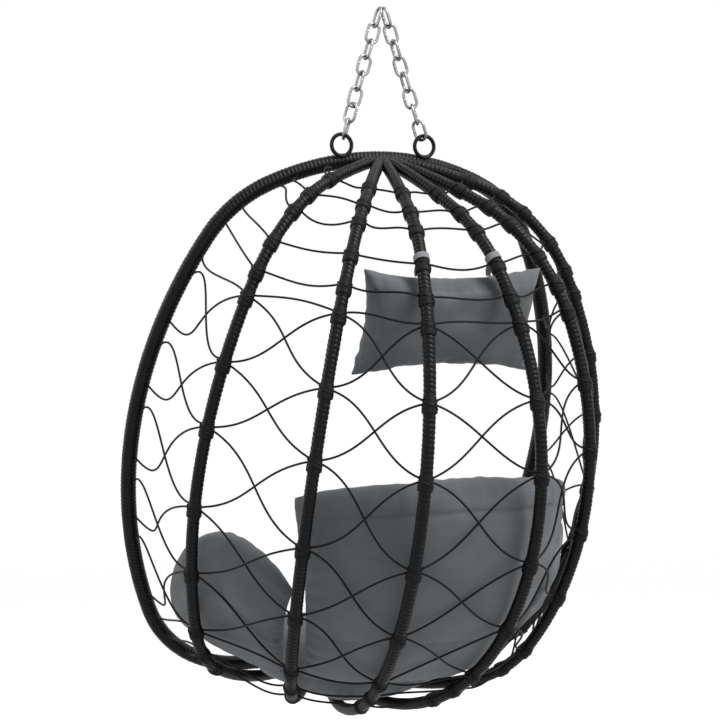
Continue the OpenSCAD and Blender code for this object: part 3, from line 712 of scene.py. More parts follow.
def cloth_material(name, colour, threads, sheen):
    """Plain-woven polyester: threads for height, slubs and a soft fade for tone, painted shade in the dips
    between threads, and a little sheen.
    """
    material, tree, shader, at = base_material(name)
    weave = group_node(tree, "weave", (2, 0), Threads=threads)
    wear = group_node(tree, "wear", (2, 2), Scale=7.0)
    tree.links.new(at.outputs["UV"], weave.inputs["Vector"])
    tree.links.new(at.outputs["Object"], wear.inputs["Vector"])
    mask = maths(tree, (4, 0), "MULTIPLY_ADD", weave.outputs["Slub"], 0.55,
                 maths(tree, (3, 1), "MULTIPLY", wear.outputs["Mask"], 0.3))
    mask = maths(tree, (4, 1), "SUBTRACT", mask, 0.12)
    # The threads' height also sets the tone: painted shade in the dips between threads, lighter on their
    # crowns.
    mask = maths(tree, (5, 1), "MULTIPLY_ADD", weave.outputs["Height"], 0.3, mask)
    shade(tree, (6, 0), tinted(colour, 0.78), tinted(colour, 1.28), mask, shader.inputs["Base Color"])
    spread(tree, (6, 2), wear.outputs["Grain"], 0.82, 0.95, shader.inputs["Roughness"])
    bump(tree, (6, 3), weave.outputs["Height"], 0.5, 0.0006, shader)
    shader.inputs["Sheen Weight"].default_value = sheen
    shader.inputs["Sheen Roughness"].default_value = 0.5
    shader.inputs["Specular IOR Level"].default_value = 0.25
    return material


MADE = {}


def material(key):
    """One of the chair's materials, made at its first use from the user's colours."""
    if key not in MADE:
        finish = bpy.context.scene.egg_chair_finish
        MADE[key] = {
            "cane": lambda: cane_material(tuple(finish.cane)),
            "cord": lambda: cord_material(tuple(finish.cord)),
            "steel": lambda: steel_material(tuple(finish.steel)),
            "zinc": lambda: zinc_material(tuple(finish.zinc)),
            "cloth": lambda: cloth_material("Grey Cloth", tuple(finish.cloth), finish.threads, 0.25),
            "webbing": lambda: cloth_material("Grey Webbing", tuple(finish.webbing),
                                              finish.threads / 1.6, 0.15),
        }[key]()
    return MADE[key]


# ---- The user's sizes and colours ----


class EggChairSizes(PropertyGroup):
    ring_pitch: FloatProperty(name="Ring cane", description="Width of the cane wound round the front ring",
                              default=0.0078, min=0.004, max=0.02, unit="LENGTH")
    rib_pitch: FloatProperty(name="Rib cane", description="Width of the cane wound round the ribs",
                             default=0.0085, min=0.004, max=0.02, unit="LENGTH")
    cane_relief: FloatProperty(name="Groove", description="Depth of the groove between two turns of cane",
                               default=0.0010, min=0.0, max=0.003, unit="LENGTH")
    lashing_pitch: FloatProperty(name="Lashing", description="Spacing of the turns in a knot",
                                 default=0.0044, min=0.003, max=0.008, unit="LENGTH")
    swell: FloatProperty(name="Filling", description="How far a pad's cover may be pushed out by its filling",
                         default=0.010, min=0.0, max=0.02, unit="LENGTH")


class EggChairFinish(PropertyGroup):
    cane: FloatVectorProperty(name="Cane", description="Colour of the wound cane", subtype="COLOR",
                              default=(0.0042, 0.0042, 0.0046), min=0.0, max=1.0)
    cord: FloatVectorProperty(name="Cord", description="Colour of the lacing cord", subtype="COLOR",
                              default=(0.0042, 0.0042, 0.0046), min=0.0, max=1.0)
    steel: FloatVectorProperty(name="Steel", description="Colour of the powder coat", subtype="COLOR",
                               default=(0.004, 0.004, 0.0043), min=0.0, max=1.0)
    zinc: FloatVectorProperty(name="Zinc", description="Colour of the plated chain", subtype="COLOR",
                              default=(0.42, 0.43, 0.44), min=0.0, max=1.0)
    cloth: FloatVectorProperty(name="Cloth", description="Colour of the pads", subtype="COLOR",
                               default=(0.115, 0.127, 0.137), min=0.0, max=1.0)
    webbing: FloatVectorProperty(name="Straps", description="Colour of the pillow's straps", subtype="COLOR",
                                 default=(0.23, 0.24, 0.26), min=0.0, max=1.0)
    threads: FloatProperty(name="Threads", description="Threads of the cloth in a metre",
                           default=1100.0, min=300.0, max=4000.0)


# ---- Wound tubes ----


class EGGCHAIR_OT_ring(Operator):
    """Winds the front ring in tight turns of cane, square to the tube"""

    bl_idname = "egg_chair.ring"
    bl_label = "Front Ring"

    def execute(self, context):
        sizes = context.scene.egg_chair_sizes
        made = wound_tube(ring_path, 0.0, RING_LENGTH, RING_WRAP_R, sizes.ring_pitch,
                          sizes.cane_relief, 20, closed=True, jitter=0.05, seed=11)
        ring = new_object("ring_cane", *made)
        dress(ring, "basket", "black_cane", material("cane"), "front_ring_wrap")
        return {"FINISHED"}


class EGGCHAIR_OT_ribs(Operator):
    """Winds each rib in cane from the crown to the hub, with its ends inside the ring"""

    bl_idname = "egg_chair.ribs"
    bl_label = "Ribs"

    def execute(self, context):
        sizes = context.scene.egg_chair_sizes
        for rib in range(1, RIB_COUNT + 1):
            made = wound_tube(rib_path(rib), 0.0, outline_length(RIB_ARCS[rib - 1]), RIB_CANE_R,
                              sizes.rib_pitch, sizes.cane_relief, 18, round_end=0.012, jitter=0.06,
                              seed=20 + rib)
            obj = new_object(f"rib_{rib}_cane", *made)
            dress(obj, "basket", "black_cane", material("cane"), f"rib_{rib}_wrap")
        return {"FINISHED"}


def knot_length_at(rib, row):
    """Length along a rib to a row of knots."""
    return KNOT_ROWS[row] * outline_length(RIB_ARCS[rib - 1])


class EGGCHAIR_OT_knots(Operator):
    """Lashes each row of cord to the rib: close turns of cord that swell towards the foot of the knot,
    and two turns that cross over them"""

    bl_idname = "egg_chair.knots"
    bl_label = "Knots"

    def execute(self, context):
        sizes = context.scene.egg_chair_sizes

        def bulge(share):
            """Radius of the turns, with a smooth step up over three quarters and down over the last tenth."""
            rise = np.clip(share / 0.75, 0, 1)
            fall = np.clip((1 - share) / 0.1, 0, 1)
            rise, fall = (v * v * (3 - 2 * v) for v in (rise, fall))
            return RIB_CANE_R - KNOT_SINK + (KNOT_RISE + KNOT_OVER) * rise * fall

        for rib in range(1, RIB_COUNT + 1):
            parts = []
            path = rib_path(rib)
            for row in range(len(KNOT_ROWS)):
                middle = knot_length_at(rib, row)
                parts.append(wound_tube(path, middle - KNOT_LENGTH / 2, KNOT_LENGTH, bulge,
                                        sizes.lashing_pitch, 0.0005, 16, round_end=0.0015, overlap=0.3,
                                        jitter=0.08, seed=100 * rib + row, phases=CORD_PHASES))
                t = np.linspace(-1, 1, 15)
                lines = []
                for way in (-1, 1):
                    # each of the two dives under the knot at its ends, and one lies over the other
                    angle = way * t * CROSSING_ROUND
                    s = middle + CROSSING_DROP + CROSSING_ALONG * t
                    c, n, b = path(s)
                    r = RIB_CANE_R + KNOT_RISE * 0.5 + 0.0004 * way - 0.003 * np.abs(t) ** 6
                    lines.append(c + r[:, None] * (np.cos(angle)[:, None] * n + np.sin(angle)[:, None] * b))
                parts.append(cords(np.array(lines), CORD_D / 2, 8, out=path(np.array(middle))[1]))
            obj = new_object(f"rib_{rib}_lashings", *joined(parts))
            dress(obj, "basket", "black_cord", material("cord"), f"rib_{rib}_knots")
        return {"FINISHED"}


# ---- Lacing ----

# Half the distance between two strands at a knot, and how far the crossing strands are pulled out or in
APART = CORD_D * 0.8
CROSS_LIFT = CORD_D * 1.85
HOOK_LIFT = CORD_D * 2.6
CORD_START = RIB_WRAP_R - 0.001
RING_CORD_START = RING_WRAP_R - 0.002
# Lengths of the handles of rows and of crossing strands, as shares of the distance between their ends
ROW_PULL, CROSS_PULL = 0.36, 0.38
# Each row beside the ring: its slope down the ring, its handle's length there, and its slope up the rib
RING_ROW_ENDS = (
    (-0.9, 0.030, 0.45),
    (1.6, 0.034, 0.45),
    (-0.9, 0.050, 0.20),
    (1.5, 0.020, 0.55),
    (0.5, 0.046, 0.45),
    (1.3, 0.050, 0.45),
)


def knot_place(rib, row, up=0.0):
    """Place of a knot's middle on a rib, or a little further up it."""
    return rib_path(rib)(np.array(knot_length_at(rib, row) - up))[0]


def ring_place(distance, right):
    """Place on the ring's centre line at a length from the crown, on its +X or its -X side."""
    return ring_path(np.array(distance if right else RING_LENGTH - distance))[0]


def ring_down(distance, right):
    """Direction along the ring, away from the crown."""
    return unit(ring_place(distance + 0.002, right) - ring_place(distance - 0.002, right))


def bay_directions(bay):
    """(outward, round) in the middle of a bay: square to the axis, and from rib 1 towards rib 6."""
    edges = [0.0, *RIB_ANGLES, 180.0]
    angle = (edges[bay - 1] + edges[bay]) / 2
    out = outward_at(np.array(angle))
    return out, np.cross(UP, out)


class Strands:
    """Collects the cubic strands of a bay."""

    def __init__(self):
        self.ends = []

    def add(self, p, q, a, b):
        """A strand from p to q, with handles at p + a and q + b."""
        self.ends.append((p, p + a, q + b, q))

    def lines(self, count):
        """All strands as (strands, count, 3)."""
        p, a, b, q = (np.array(v) for v in zip(*self.ends))
        return curve_points(p, a, b, q, count)


def rib_to_rib(bay, rng):
    """The strands of a bay between two ribs: waving rows above, crossing strands, and rows at the foot."""
    out, way = bay_directions(bay)
    strands = Strands()
    rows = [*range(FIRST_CROSS + 1), *range(LAST_CROSS, len(KNOT_ROWS))]
    for row in rows:
        up = APART if row == FIRST_CROSS else -APART if row == LAST_CROSS else 0.0
        p = knot_place(bay - 1, row, up) + CORD_START * way
        q = knot_place(bay, row, up) - CORD_START * way
        pull = np.linalg.norm(q - p) * ROW_PULL
        waves = rng.normal(0, 0.34, 2) - 0.12
        strands.add(p, q, pull * unit(way + waves[0] * UP), pull * unit(waves[1] * UP - way))
    for row in range(FIRST_CROSS, LAST_CROSS):
        # each leaves its upper knot a little downwards, comes a little upwards to its lower one, and is
        # steepest where it crosses the other
        for upper, lower, ahead in ((bay - 1, bay, way), (bay, bay - 1, -way)):
            lift = -CROSS_LIFT if (bay < BAY_COUNT / 2) == (upper < lower) else CROSS_LIFT
            fall, rise = rng.normal(0.4, 0.05), rng.normal(0.3, 0.04)
            p = knot_place(upper, row, -APART) + CORD_START * ahead
            q = knot_place(lower, row + 1, APART) - CORD_START * ahead
            pull = np.linalg.norm(q - p) * CROSS_PULL
            a, b = pull * unit(ahead - fall * UP), pull * unit(rise * UP - ahead)
            strands.add(p, q, a + lift * out, b + lift * out)
    return strands


def ring_to_rib(right, rng):
    """The strands of a bay beside the ring: rows, crossing strands that hook round at the ring, foot rows.

    At the ring a strand starts along the ring, up it or down it, and bends over towards the rib.
    """
    bay, rib = (1, 1) if right else (BAY_COUNT, RIB_COUNT)
    out, way = bay_directions(bay)
    to_rib = way if right else -way
    strands = Strands()

    def strand(distance, row, knot_up, ring_lean, ring_pull, knot_lean, knot_pull, lift):
        """ring_lean and knot_lean are how steeply a strand goes down the ring and up the rib as it leaves."""
        down = ring_down(distance, right)
        p = ring_place(distance, right) + RING_CORD_START * to_rib
        q = knot_place(rib, row, knot_up) - CORD_START * to_rib
        raised = lift * out
        a = ring_pull * unit(to_rib + ring_lean * down) + raised
        b = knot_pull * unit(knot_lean * UP - to_rib) + raised
        strands.add(p, q, a, b)

    for row, (lean, pull, rise) in enumerate(RING_ROW_ENDS):
        strand(RING_ROWS[row], row, APART if row == FIRST_CROSS else 0.0, lean + rng.normal(0, 0.1), pull,
               rise, 0.045, 0.0)
    for row in range(FIRST_CROSS, LAST_CROSS):
        turn = row - FIRST_CROSS
        strand(RING_TURNS[turn + 1] - TURN_HALF, row, -APART, 0.4, 0.125,
               rng.normal(-0.4, 0.03), 0.180, -HOOK_LIFT)
        strand(RING_TURNS[turn] + (TURN_HALF if turn else 0.0), row + 1, APART, -1.65, 0.105,
               rng.normal(-0.3, 0.03), 0.080, HOOK_LIFT)
    for k, distance in enumerate(RING_FOOT_ROWS):
        strand(distance, LAST_CROSS + k, -APART if k == 0 else 0.0, 0.5, 0.035, 0.3, 0.04, 0.0)
    return strands


class EGGCHAIR_OT_lacing(Operator):
    """Laces the seven bays with round cord"""

    bl_idname = "egg_chair.lacing"
    bl_label = "Lacing"

    def execute(self, context):
        for bay in range(1, BAY_COUNT + 1):
            rng = np.random.default_rng(40 + bay)
            strands = rib_to_rib(bay, rng) if 1 < bay < BAY_COUNT else ring_to_rib(bay == 1, rng)
            made = cords(strands.lines(33), CORD_D / 2, 9, out=bay_directions(bay)[0])
            obj = new_object(f"lacing_cord_{bay}", *made)
            dress(obj, "basket", "black_cord", material("cord"), f"lacing_bay_{bay}")
        return {"FINISHED"}


# ---- Eyes and chains ----

# The bead of weld under an eye: half its length along the ring, half its width and height, and its depth
BEAD_LENGTH, BEAD_WIDTH, BEAD_HEIGHT, BEAD_DROP = 0.0105, 0.0062, 0.0085, 0.0075


def swept_loop(centre, normal, side, radius, sides, v_scale=1.0):
    """A closed tube along a closed line of (n, 3) centres, with radius an array of n."""
    n = len(centre)
    a = 2 * math.pi * np.arange(sides) / sides
    points = centre[:, None] + radius[:, None, None] * (
        np.cos(a)[None, :, None] * normal[:, None] + np.sin(a)[None, :, None] * side[:, None])
    index = np.arange(n * sides).reshape(n, sides)
    right = np.roll(index, -1, 1)
    quads = np.stack([index, right, np.roll(right, -1, 0), np.roll(index, -1, 0)], -1).reshape(-1, 4)
    v = np.broadcast_to((np.arange(n) / n * v_scale)[:, None], (n, sides))
    u = np.broadcast_to(np.arange(sides)[None] / sides, (n, sides))
    return points.reshape(-1, 3), [quads], [corner_uvs(u, u + 1 / sides, v, v + v_scale / n)]


def link_mesh():
    """A chain link of round wire, upright in the plane Y = 0: two half circles joined by straights.

    The wire swells a little round the butt weld in the middle of one straight, and dips on both sides of it.
    """
    bend_r = (LINK_INSIDE_W + LINK_WIRE) / 2
    straight = LINK_INSIDE_L - LINK_INSIDE_W
    per_bend, per_straight = 26, 16
    a = np.linspace(0, math.pi, per_bend, endpoint=False)
    u = np.linspace(0, 1, per_straight, endpoint=False)
    top = np.stack([bend_r * np.cos(a), 0 * a, straight / 2 + bend_r * np.sin(a)], -1)
    left = np.stack([-bend_r + 0 * u, 0 * u, straight * (0.5 - u)], -1)
    bottom = np.stack([-bend_r * np.cos(a), 0 * a, -straight / 2 - bend_r * np.sin(a)], -1)
    right = np.stack([bend_r + 0 * u, 0 * u, straight * (u - 0.5)], -1)
    centre = np.concatenate([top, left, bottom, right])
    turn = np.concatenate([a, math.pi + 0 * u, math.pi + a, 2 * math.pi + 0 * u])
    normal = np.stack([np.cos(turn), 0 * turn, np.sin(turn)], -1)
    side = np.broadcast_to([0.0, 1.0, 0.0], normal.shape)
    weld = np.exp(-((centre[:, 2] / 0.0016) ** 2)) * (centre[:, 0] > 0)
    flank = np.exp(-((np.abs(centre[:, 2]) - 0.0028) ** 2) / 0.0008**2) * (centre[:, 0] > 0)
    radius = LINK_WIRE / 2 * (1 + 0.13 * weld - 0.04 * flank)
    return swept_loop(centre, normal, side, radius, 18, v_scale=3.0)


def link_turn(k):
    """Turn of a link about its chain, in degrees."""
    return 58 if k == LINK_COUNT else 120 if k == LINK_COUNT - 1 else 90 if k % 2 else 0


class EGGCHAIR_OT_chains(Operator):
    """Makes the two chains, each link where its level of the chain hangs"""

    bl_idname = "egg_chair.chains"
    bl_label = "Chains"

    def execute(self, context):
        points, faces, uvs = link_mesh()
        for side, name in ((1, "left"), (-1, "right")):
            tilt = -side * CHAIN_ANGLE
            c, s = math.cos(tilt), math.sin(tilt)
            tilted = np.array([[c, 0, s], [0, 1, 0], [-s, 0, c]])
            for k in range(1, LINK_COUNT + 1):
                a = math.radians(side * link_turn(k))
                turned = np.array([[math.cos(a), -math.sin(a), 0], [math.sin(a), math.cos(a), 0], [0, 0, 1]])
                placed = points @ turned.T + [0, 0, -LINK_INSIDE_L / 2 - (k - 1) * PITCH]
                placed = placed @ tilted.T + [side * TOP_GAP / 2, 0, 0]
                obj = new_object(f"chain_{name}_{k}", placed, faces, uvs)
                body = "top_links" if k == 1 else "chain_links"
                dress(obj, body, "zinc_chain", material("zinc"), f"link_{name}_{k}")
        return {"FINISHED"}


class EGGCHAIR_OT_eyes(Operator):
    """Makes the two eyes on the ring, each with the weld that it stands on"""

    bl_idname = "egg_chair.eyes"
    bl_label = "Eyes"

    def execute(self, context):
        eye_r = (EYE_INSIDE_D + EYE_WIRE) / 2
        n = 72
        a = np.linspace(0, 2 * math.pi, n, endpoint=False) - math.pi / 2
        for side, name in ((1, "left"), (-1, "right")):
            centre = np.array([side * EYE_X, 0.0, EYE_Z])
            normal = np.stack([np.cos(a), 0 * a, np.sin(a)], -1)
            line = centre + eye_r * normal
            foot = np.exp(-(((a + math.pi / 2) / 0.16) ** 2)) + np.exp(-(((a - 3 * math.pi / 2) / 0.16) ** 2))
            radius = EYE_WIRE / 2 * (1 + 0.22 * foot)
            rod = swept_loop(line, normal, np.broadcast_to([0.0, 1.0, 0.0], normal.shape), radius, 24)
            obj = new_object(f"eye_ring_{name}", *rod)
            dress(obj, "basket", "black_steel", material("steel"), f"eye_{name}")
            # a bead of weld that runs from the rod's foot down on to the ring
            top = line[0]
            ring_s = math.asin(EYE_X / RING_OUTLINE[0]) * RING_OUTLINE[0]
            below = ring_place(ring_s, side > 0)
            axis = unit(below - top)
            across = unit(np.cross(axis, SIDEWAYS))
            along_ring = np.cross(across, axis)
            t = np.linspace(0, math.pi, 13)[:, None]
            b = np.linspace(0, 2 * math.pi, 28, endpoint=False)[None]
            lumps = 1 + 0.06 * np.sin(7 * b + 3 * np.cos(t)) * np.sin(t)
            middle = top + axis * BEAD_DROP
            bead = (middle + (BEAD_LENGTH * np.sin(t) * np.cos(b) * lumps)[..., None] * along_ring
                    + (BEAD_WIDTH * np.sin(t) * np.sin(b) * lumps)[..., None] * across
                    + (BEAD_HEIGHT * np.cos(t) + 0 * b)[..., None] * -axis)
            index = np.arange(bead.shape[0] * bead.shape[1]).reshape(bead.shape[:2])
            index[0], index[-1] = index[0, 0], index[-1, -1]
            right = np.roll(index, -1, 1)
            quads = np.stack([index[:-1], right[:-1], right[1:], index[1:]], -1).reshape(-1, 4)
            faces, uvs = merged_faces(quads, np.zeros((len(quads), 4, 2)))
            flat, faces = used_only(bead.reshape(-1, 3), faces)
            weld = new_object(f"eye_weld_{name}", flat, faces, uvs)
            dress(weld, "basket", "black_steel", material("steel"))
        return {"FINISHED"}


class EGGCHAIR_OT_tubes(Operator):
    """Coats the steel tubes inside the cane"""

    bl_idname = "egg_chair.tubes"
    bl_label = "Steel Tubes"

    def execute(self, context):
        for name in ["front_ring_tube"] + [f"rib_{i}_tube" for i in range(1, RIB_COUNT + 1)]:
            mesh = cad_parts[name].data
            mesh.materials.clear()
            mesh.materials.append(material("steel"))
        return {"FINISHED"}


# ---- Stuffed pads ----

PAD_GAP = RIB_WRAP_R + KNOT_RISE + 0.003
LACE_GAP = 0.016
SEAT_W, SEAT_D, SEAT_BACK, SEAT_T, SEAT_RIM = 0.450, 0.314, 0.318, 0.120, 0.030
BACK_LOW, BACK_TOP, BACK_DOME, BACK_T, BACK_RIM = 0.152, 0.642, 0.085, 0.080, 0.032
BACK_HALF_ANGLE, BACK_TAPER, BACK_W = 32.0, 0.09, 0.50
ARM_LOW, ARM_TOP, ARM_DOME, ARM_PEAK, ARM_T, ARM_RIM = 0.154, 0.435, 0.130, 0.34, 0.080, 0.025
ARM_ANGLE, ARM_HALF_ANGLE, ARM_W = 34.5, 24.0, 0.31
PILLOW_W, PILLOW_H, PILLOW_T, PILLOW_WAIST = 0.360, 0.204, 0.080, 0.15
# Sewn lines: the face (1 front, -1 rear, 0 both), the direction in which they are placed, place and depth
BACK_SEAMS = [(0, "v", 0.79, 0.0070), (-1, "v", -0.35, 0.0020)]
PILLOW_SEAMS = [(0, "v", 0.84, 0.0030)]
# Half width of a sewn line and of the slack beside it, and how far gathers reach in from the edge seam
SEAM, SLACK, GATHER = 0.004, 0.016, 0.026
# The straps' loops go round a knot of the centre ribs, just above its cord
STRAP_W, STRAP_T, STRAP_ROW = 0.015, 0.0016, 3
STRAP_ALONG = KNOT_ROWS[STRAP_ROW] * outline_length(RIB_ARCS[2]) - (CORD_D + STRAP_W) / 2 - 0.002
# The straps sit on the thin upper turns of the knot
STRAP_R = 0.0129
PILLOW_DROP, PILLOW_LEAD = 0.016, 0.009
# The pillow hangs below and ahead of its straps' loops, tipped back a little less than the basket
PILLOW_TURN = LEAN - math.radians(1.8)
PILLOW_UP = np.array([0.0, math.sin(PILLOW_TURN), math.cos(PILLOW_TURN)])
PILLOW_AHEAD = np.array([0.0, -math.cos(PILLOW_TURN), math.sin(PILLOW_TURN)])
STRAP_LOOP = rib_path(3)(np.array(STRAP_ALONG))[0]
PILLOW_MIDDLE = STRAP_LOOP * [0, 1, 1] - (PILLOW_H / 2 + PILLOW_DROP) * PILLOW_UP + PILLOW_LEAD * PILLOW_AHEAD


def radius_at(arcs, y):
    """Distance of an outline from the axis at a height: the first arc that ends below it, as a circle."""
    low = arcs[:, 1] + arcs[:, 2] * np.sin(arcs[:, 4])
    x = [a[0] + np.sqrt(np.maximum(0, a[2] ** 2 - (y - a[1]) ** 2)) for a in arcs]
    return np.select([y >= low[k] for k in range(4)], x[:4], x[4])


def floor_at(arcs, x):
    """Height of an outline's floor at a distance from the axis: on the base's circle, or on the corner's."""
    cx, cy, r = arcs[3, :3]
    corner = cy - np.sqrt(np.maximum(0, r * r - (x - cx) ** 2))
    if arcs[4, 2] == 0:
        return np.where(x < cx, 0.0, corner)
    base_r = arcs[4, 2]
    base = base_r - np.sqrt(np.maximum(0, base_r**2 - x * x))
    return np.where(x < base_r * math.cos(arcs[4, 3]), base, corner)


def mixed(at_ring, at_outer, at_middle, at_centre, angle):
    """Straight mixes between the ring's and the ribs' values, by the angle round the axis."""
    f = np.where(angle > 90, 180 - angle, angle)
    stops = [0.0, OUTER_ANGLE, MIDDLE_ANGLE, CENTRE_ANGLE]
    values = [at_ring, at_outer, at_middle, at_centre]
    out = at_centre + 0 * f
    for k in (2, 1, 0):
        t = (f - stops[k]) / (stops[k + 1] - stops[k])
        out = np.where(f < stops[k + 1], values[k] + (values[k + 1] - values[k]) * t, out)
    return out


def wall_radius(y, angle):
    """Distance of the basket's wall from the axis."""
    return mixed(radius_at(RING_ARCS, y), *(radius_at(RIB_ARCS[k], y) for k in range(3)), angle)


def floor_height(x, angle):
    """Height of the basket's floor above the hub."""
    return mixed(floor_at(RING_ARCS, x), *(floor_at(RIB_ARCS[k], x) for k in range(3)), angle)


def draw_in(t, amount):
    """How much an edge draws in between its corners: 1 - amount (1 - t^2)."""
    return 1 - amount * (1 - t * t)


def swelling(u, v, fullness=0.36):
    """How full a pad is at a place: ((1 - |u|^2.4) (1 - |v|^2.4)) ^ fullness."""
    return np.maximum(0, (1 - np.abs(u) ** 2.4) * (1 - np.abs(v) ** 2.4)) ** fullness


def pad_steps(count, size, lines=()):
    """Even steps from -1 to 1, with one more close to each end and three at each sewn line."""
    close = SEAM * 2 / size
    inner = np.linspace(-1 + 3 * close, 1 - 3 * close, count - 4)
    for at in lines:
        inner = np.append(inner[np.abs(inner - at) > 1.8 * close], [at - close, at, at + close])
    return np.concatenate([[-1, -1 + close], np.sort(inner), [1 - close, 1]])


def pad_sheets(place, columns, rows):
    """The two faces of a pad as (rows, columns, 3) arrays, from place(u, v, face)."""
    u, v = np.meshgrid(columns, rows)
    return u, v, place(u, v, 1), place(u, v, -1)


def pad_mesh(front, back, width, height):
    """A closed pad from its two faces, which share their edge points. UVs are in metres of cloth."""
    rows, columns, _ = front.shape
    n = rows * columns
    index = np.arange(n).reshape(rows, columns)
    inner = np.zeros((rows, columns), bool)
    inner[1:-1, 1:-1] = True
    rear = index.copy()
    rear[inner] = n + np.arange(inner.sum())
    quads, uvs = [], []
    u = np.linspace(0, width, columns)
    v = np.linspace(0, height, rows)
    uu, vv = np.meshgrid(u, v)
    place = np.stack([uu, vv], -1)
    for grid, turn in ((index, False), (rear, True)):
        q = np.stack([grid[:-1, :-1], grid[:-1, 1:], grid[1:, 1:], grid[1:, :-1]], -1)
        w = np.stack([place[:-1, :-1], place[:-1, 1:], place[1:, 1:], place[1:, :-1]], -2)
        if turn:
            q, w = q[..., ::-1], w[..., ::-1, :] + [width * 1.1, 0]
        quads.append(q.reshape(-1, 4))
        uvs.append(w.reshape(-1, 4, 2))
    points = np.concatenate([front.reshape(-1, 3), back[inner]])
    return points, [np.concatenate(quads)], [np.concatenate(uvs)], index, rear


def inflate(obj, swell, frames=16, pressure=4.0):
    """Lets Blender's cloth be pushed out by its filling, and caps how far a point moves.

    New place = old place + movement * min(1, swell / length of the movement).
    """
    scene = bpy.context.scene
    mesh = obj.data
    before = np.zeros(len(mesh.vertices) * 3, np.float32)
    mesh.vertices.foreach_get("co", before)
    before = before.reshape(-1, 3)
    cloth = obj.modifiers.new("Cover", "CLOTH")
    settings = cloth.settings
    settings.quality = 6
    settings.mass = 0.25
    settings.tension_stiffness = 12
    settings.compression_stiffness = 12
    settings.shear_stiffness = 5
    settings.bending_stiffness = 0.4
    settings.use_pressure = True
    settings.uniform_pressure_force = pressure
    settings.effector_weights.gravity = 0
    cloth.point_cache.frame_start = 1
    cloth.point_cache.frame_end = frames
    for at in range(1, frames + 1):
        scene.frame_set(at)
    evaluated = obj.evaluated_get(bpy.context.evaluated_depsgraph_get())
    after = np.zeros(len(before) * 3, np.float32)
    evaluated.data.vertices.foreach_get("co", after)
    after = after.reshape(-1, 3)
    obj.modifiers.remove(cloth)
    scene.frame_set(1)
    moved = after - before
    size = np.linalg.norm(moved, axis=1, keepdims=True)
    moved *= np.minimum(1.0, swell / np.maximum(size, 1e-9))
    mesh.vertices.foreach_set("co", (before + moved).ravel())
    mesh.update()


def mesh_points(obj):
    """The mesh's points as an (n, 3) array."""
    co = np.zeros(len(obj.data.vertices) * 3, np.float32)
    obj.data.vertices.foreach_get("co", co)
    return co.reshape(-1, 3).astype(float)


def mesh_normals(obj):
    """The mesh's point normals as an (n, 3) array."""
    no = np.zeros(len(obj.data.vertices) * 3, np.float32)
    obj.data.vertex_normals.foreach_get("vector", no)
    return no.reshape(-1, 3).astype(float)


def wave_noise(rng, t, count, low, high):
    """Sum of sines of random frequency, phase and size along t, within about -1 to 1."""
    f = rng.uniform(low, high, count)
    p = rng.uniform(0, 2 * math.pi, count)
    a = rng.uniform(0.4, 1.0, count)
    return (a * np.sin(f * t[..., None] * math.pi + p)).sum(-1) / a.sum() * 1.6


def sew(obj, u, v, index, rear, width, height, seams, seed, pucker=0.0022, soft=0.0035):
    """Pulls sewn lines into a pad after it is filled, and gathers the cloth beside its edge seam.

    Along the normal, a point moves by -depth * exp(-(distance / SEAM)^2) at each sewn line, by gathers of
    a few random sines along the seam that fade as exp(-distance / GATHER), and by slow lumps of filling.
    """
    rng = np.random.default_rng(seed)
    points, normals = mesh_points(obj), mesh_normals(obj)
    to_side = (1 - np.abs(u)) * width / 2
    to_end = (1 - np.abs(v)) * height / 2
    for grid, face in ((index, 1), (rear, -1)):
        move = soft * wave_noise(rng, u + 0.31 * v, 4, 0.8, 2.6) * wave_noise(rng, v - 0.2 * u, 4, 0.8, 2.4)
        move = move * swelling(u, v, 0.8)
        gathers = wave_noise(rng, u * width / 0.1, 7, 1.2, 5.0) * np.exp(-to_end / GATHER)
        gathers = gathers + wave_noise(rng, v * height / 0.1, 7, 1.2, 5.0) * np.exp(-to_side / GATHER)
        edge = np.minimum(to_side, to_end)
        move = move + pucker * gathers * np.clip(edge / 0.006, 0, 1)
        for line_face, axis, at, depth in seams:
            if line_face in (0, face):
                far = (v - at) * height / 2 if axis == "v" else (u - at) * width / 2
                line = np.exp(-((far / SEAM) ** 2)) + 0.35 * np.exp(-((far / SLACK) ** 2))
                ripple = 1 + 0.35 * wave_noise(rng, (u if axis == "v" else v) * 3, 5, 1.0, 5.0)
                move = move - depth * line * ripple * swelling(u, v, 0.5)
        inner = edge > 1e-6
        points[grid[inner]] += normals[grid[inner]] * move[inner][:, None]
    obj.data.vertices.foreach_set("co", points.astype(np.float32).ravel())
    obj.data.update()


def stuffed(name, place, width, height, columns, rows, swell, seams, seed, node,
            pucker=0.0034, soft=0.006):
    """One padded piece: its two faces, filled by the cloth solver, sewn, and smoothed by one subdivision."""
    cu = pad_steps(columns, width)
    cv = pad_steps(rows, height, [at for _, axis, at, _ in seams if axis == "v"])
    u, v, front, back = pad_sheets(place, cu, cv)
    points, faces, uvs, index, rear = pad_mesh(front, back, width, height)
    obj = new_object(name, points, faces, uvs)
    inflate(obj, swell)
    sew(obj, u, v, index, rear, width, height, seams, seed, pucker, soft)
    smooth = obj.modifiers.new("Smooth", "SUBSURF")
    smooth.levels = smooth.render_levels = 1
    dress(obj, "basket", "grey_cloth", material("cloth"), node)
    return obj


def rounded(u, v, amount=0.012):
    """Corners rounded off: u (1 - amount |v|^12), v (1 - amount |u|^12)."""
    return u * (1 - amount * np.abs(v) ** 12), v * (1 - amount * np.abs(u) ** 12)


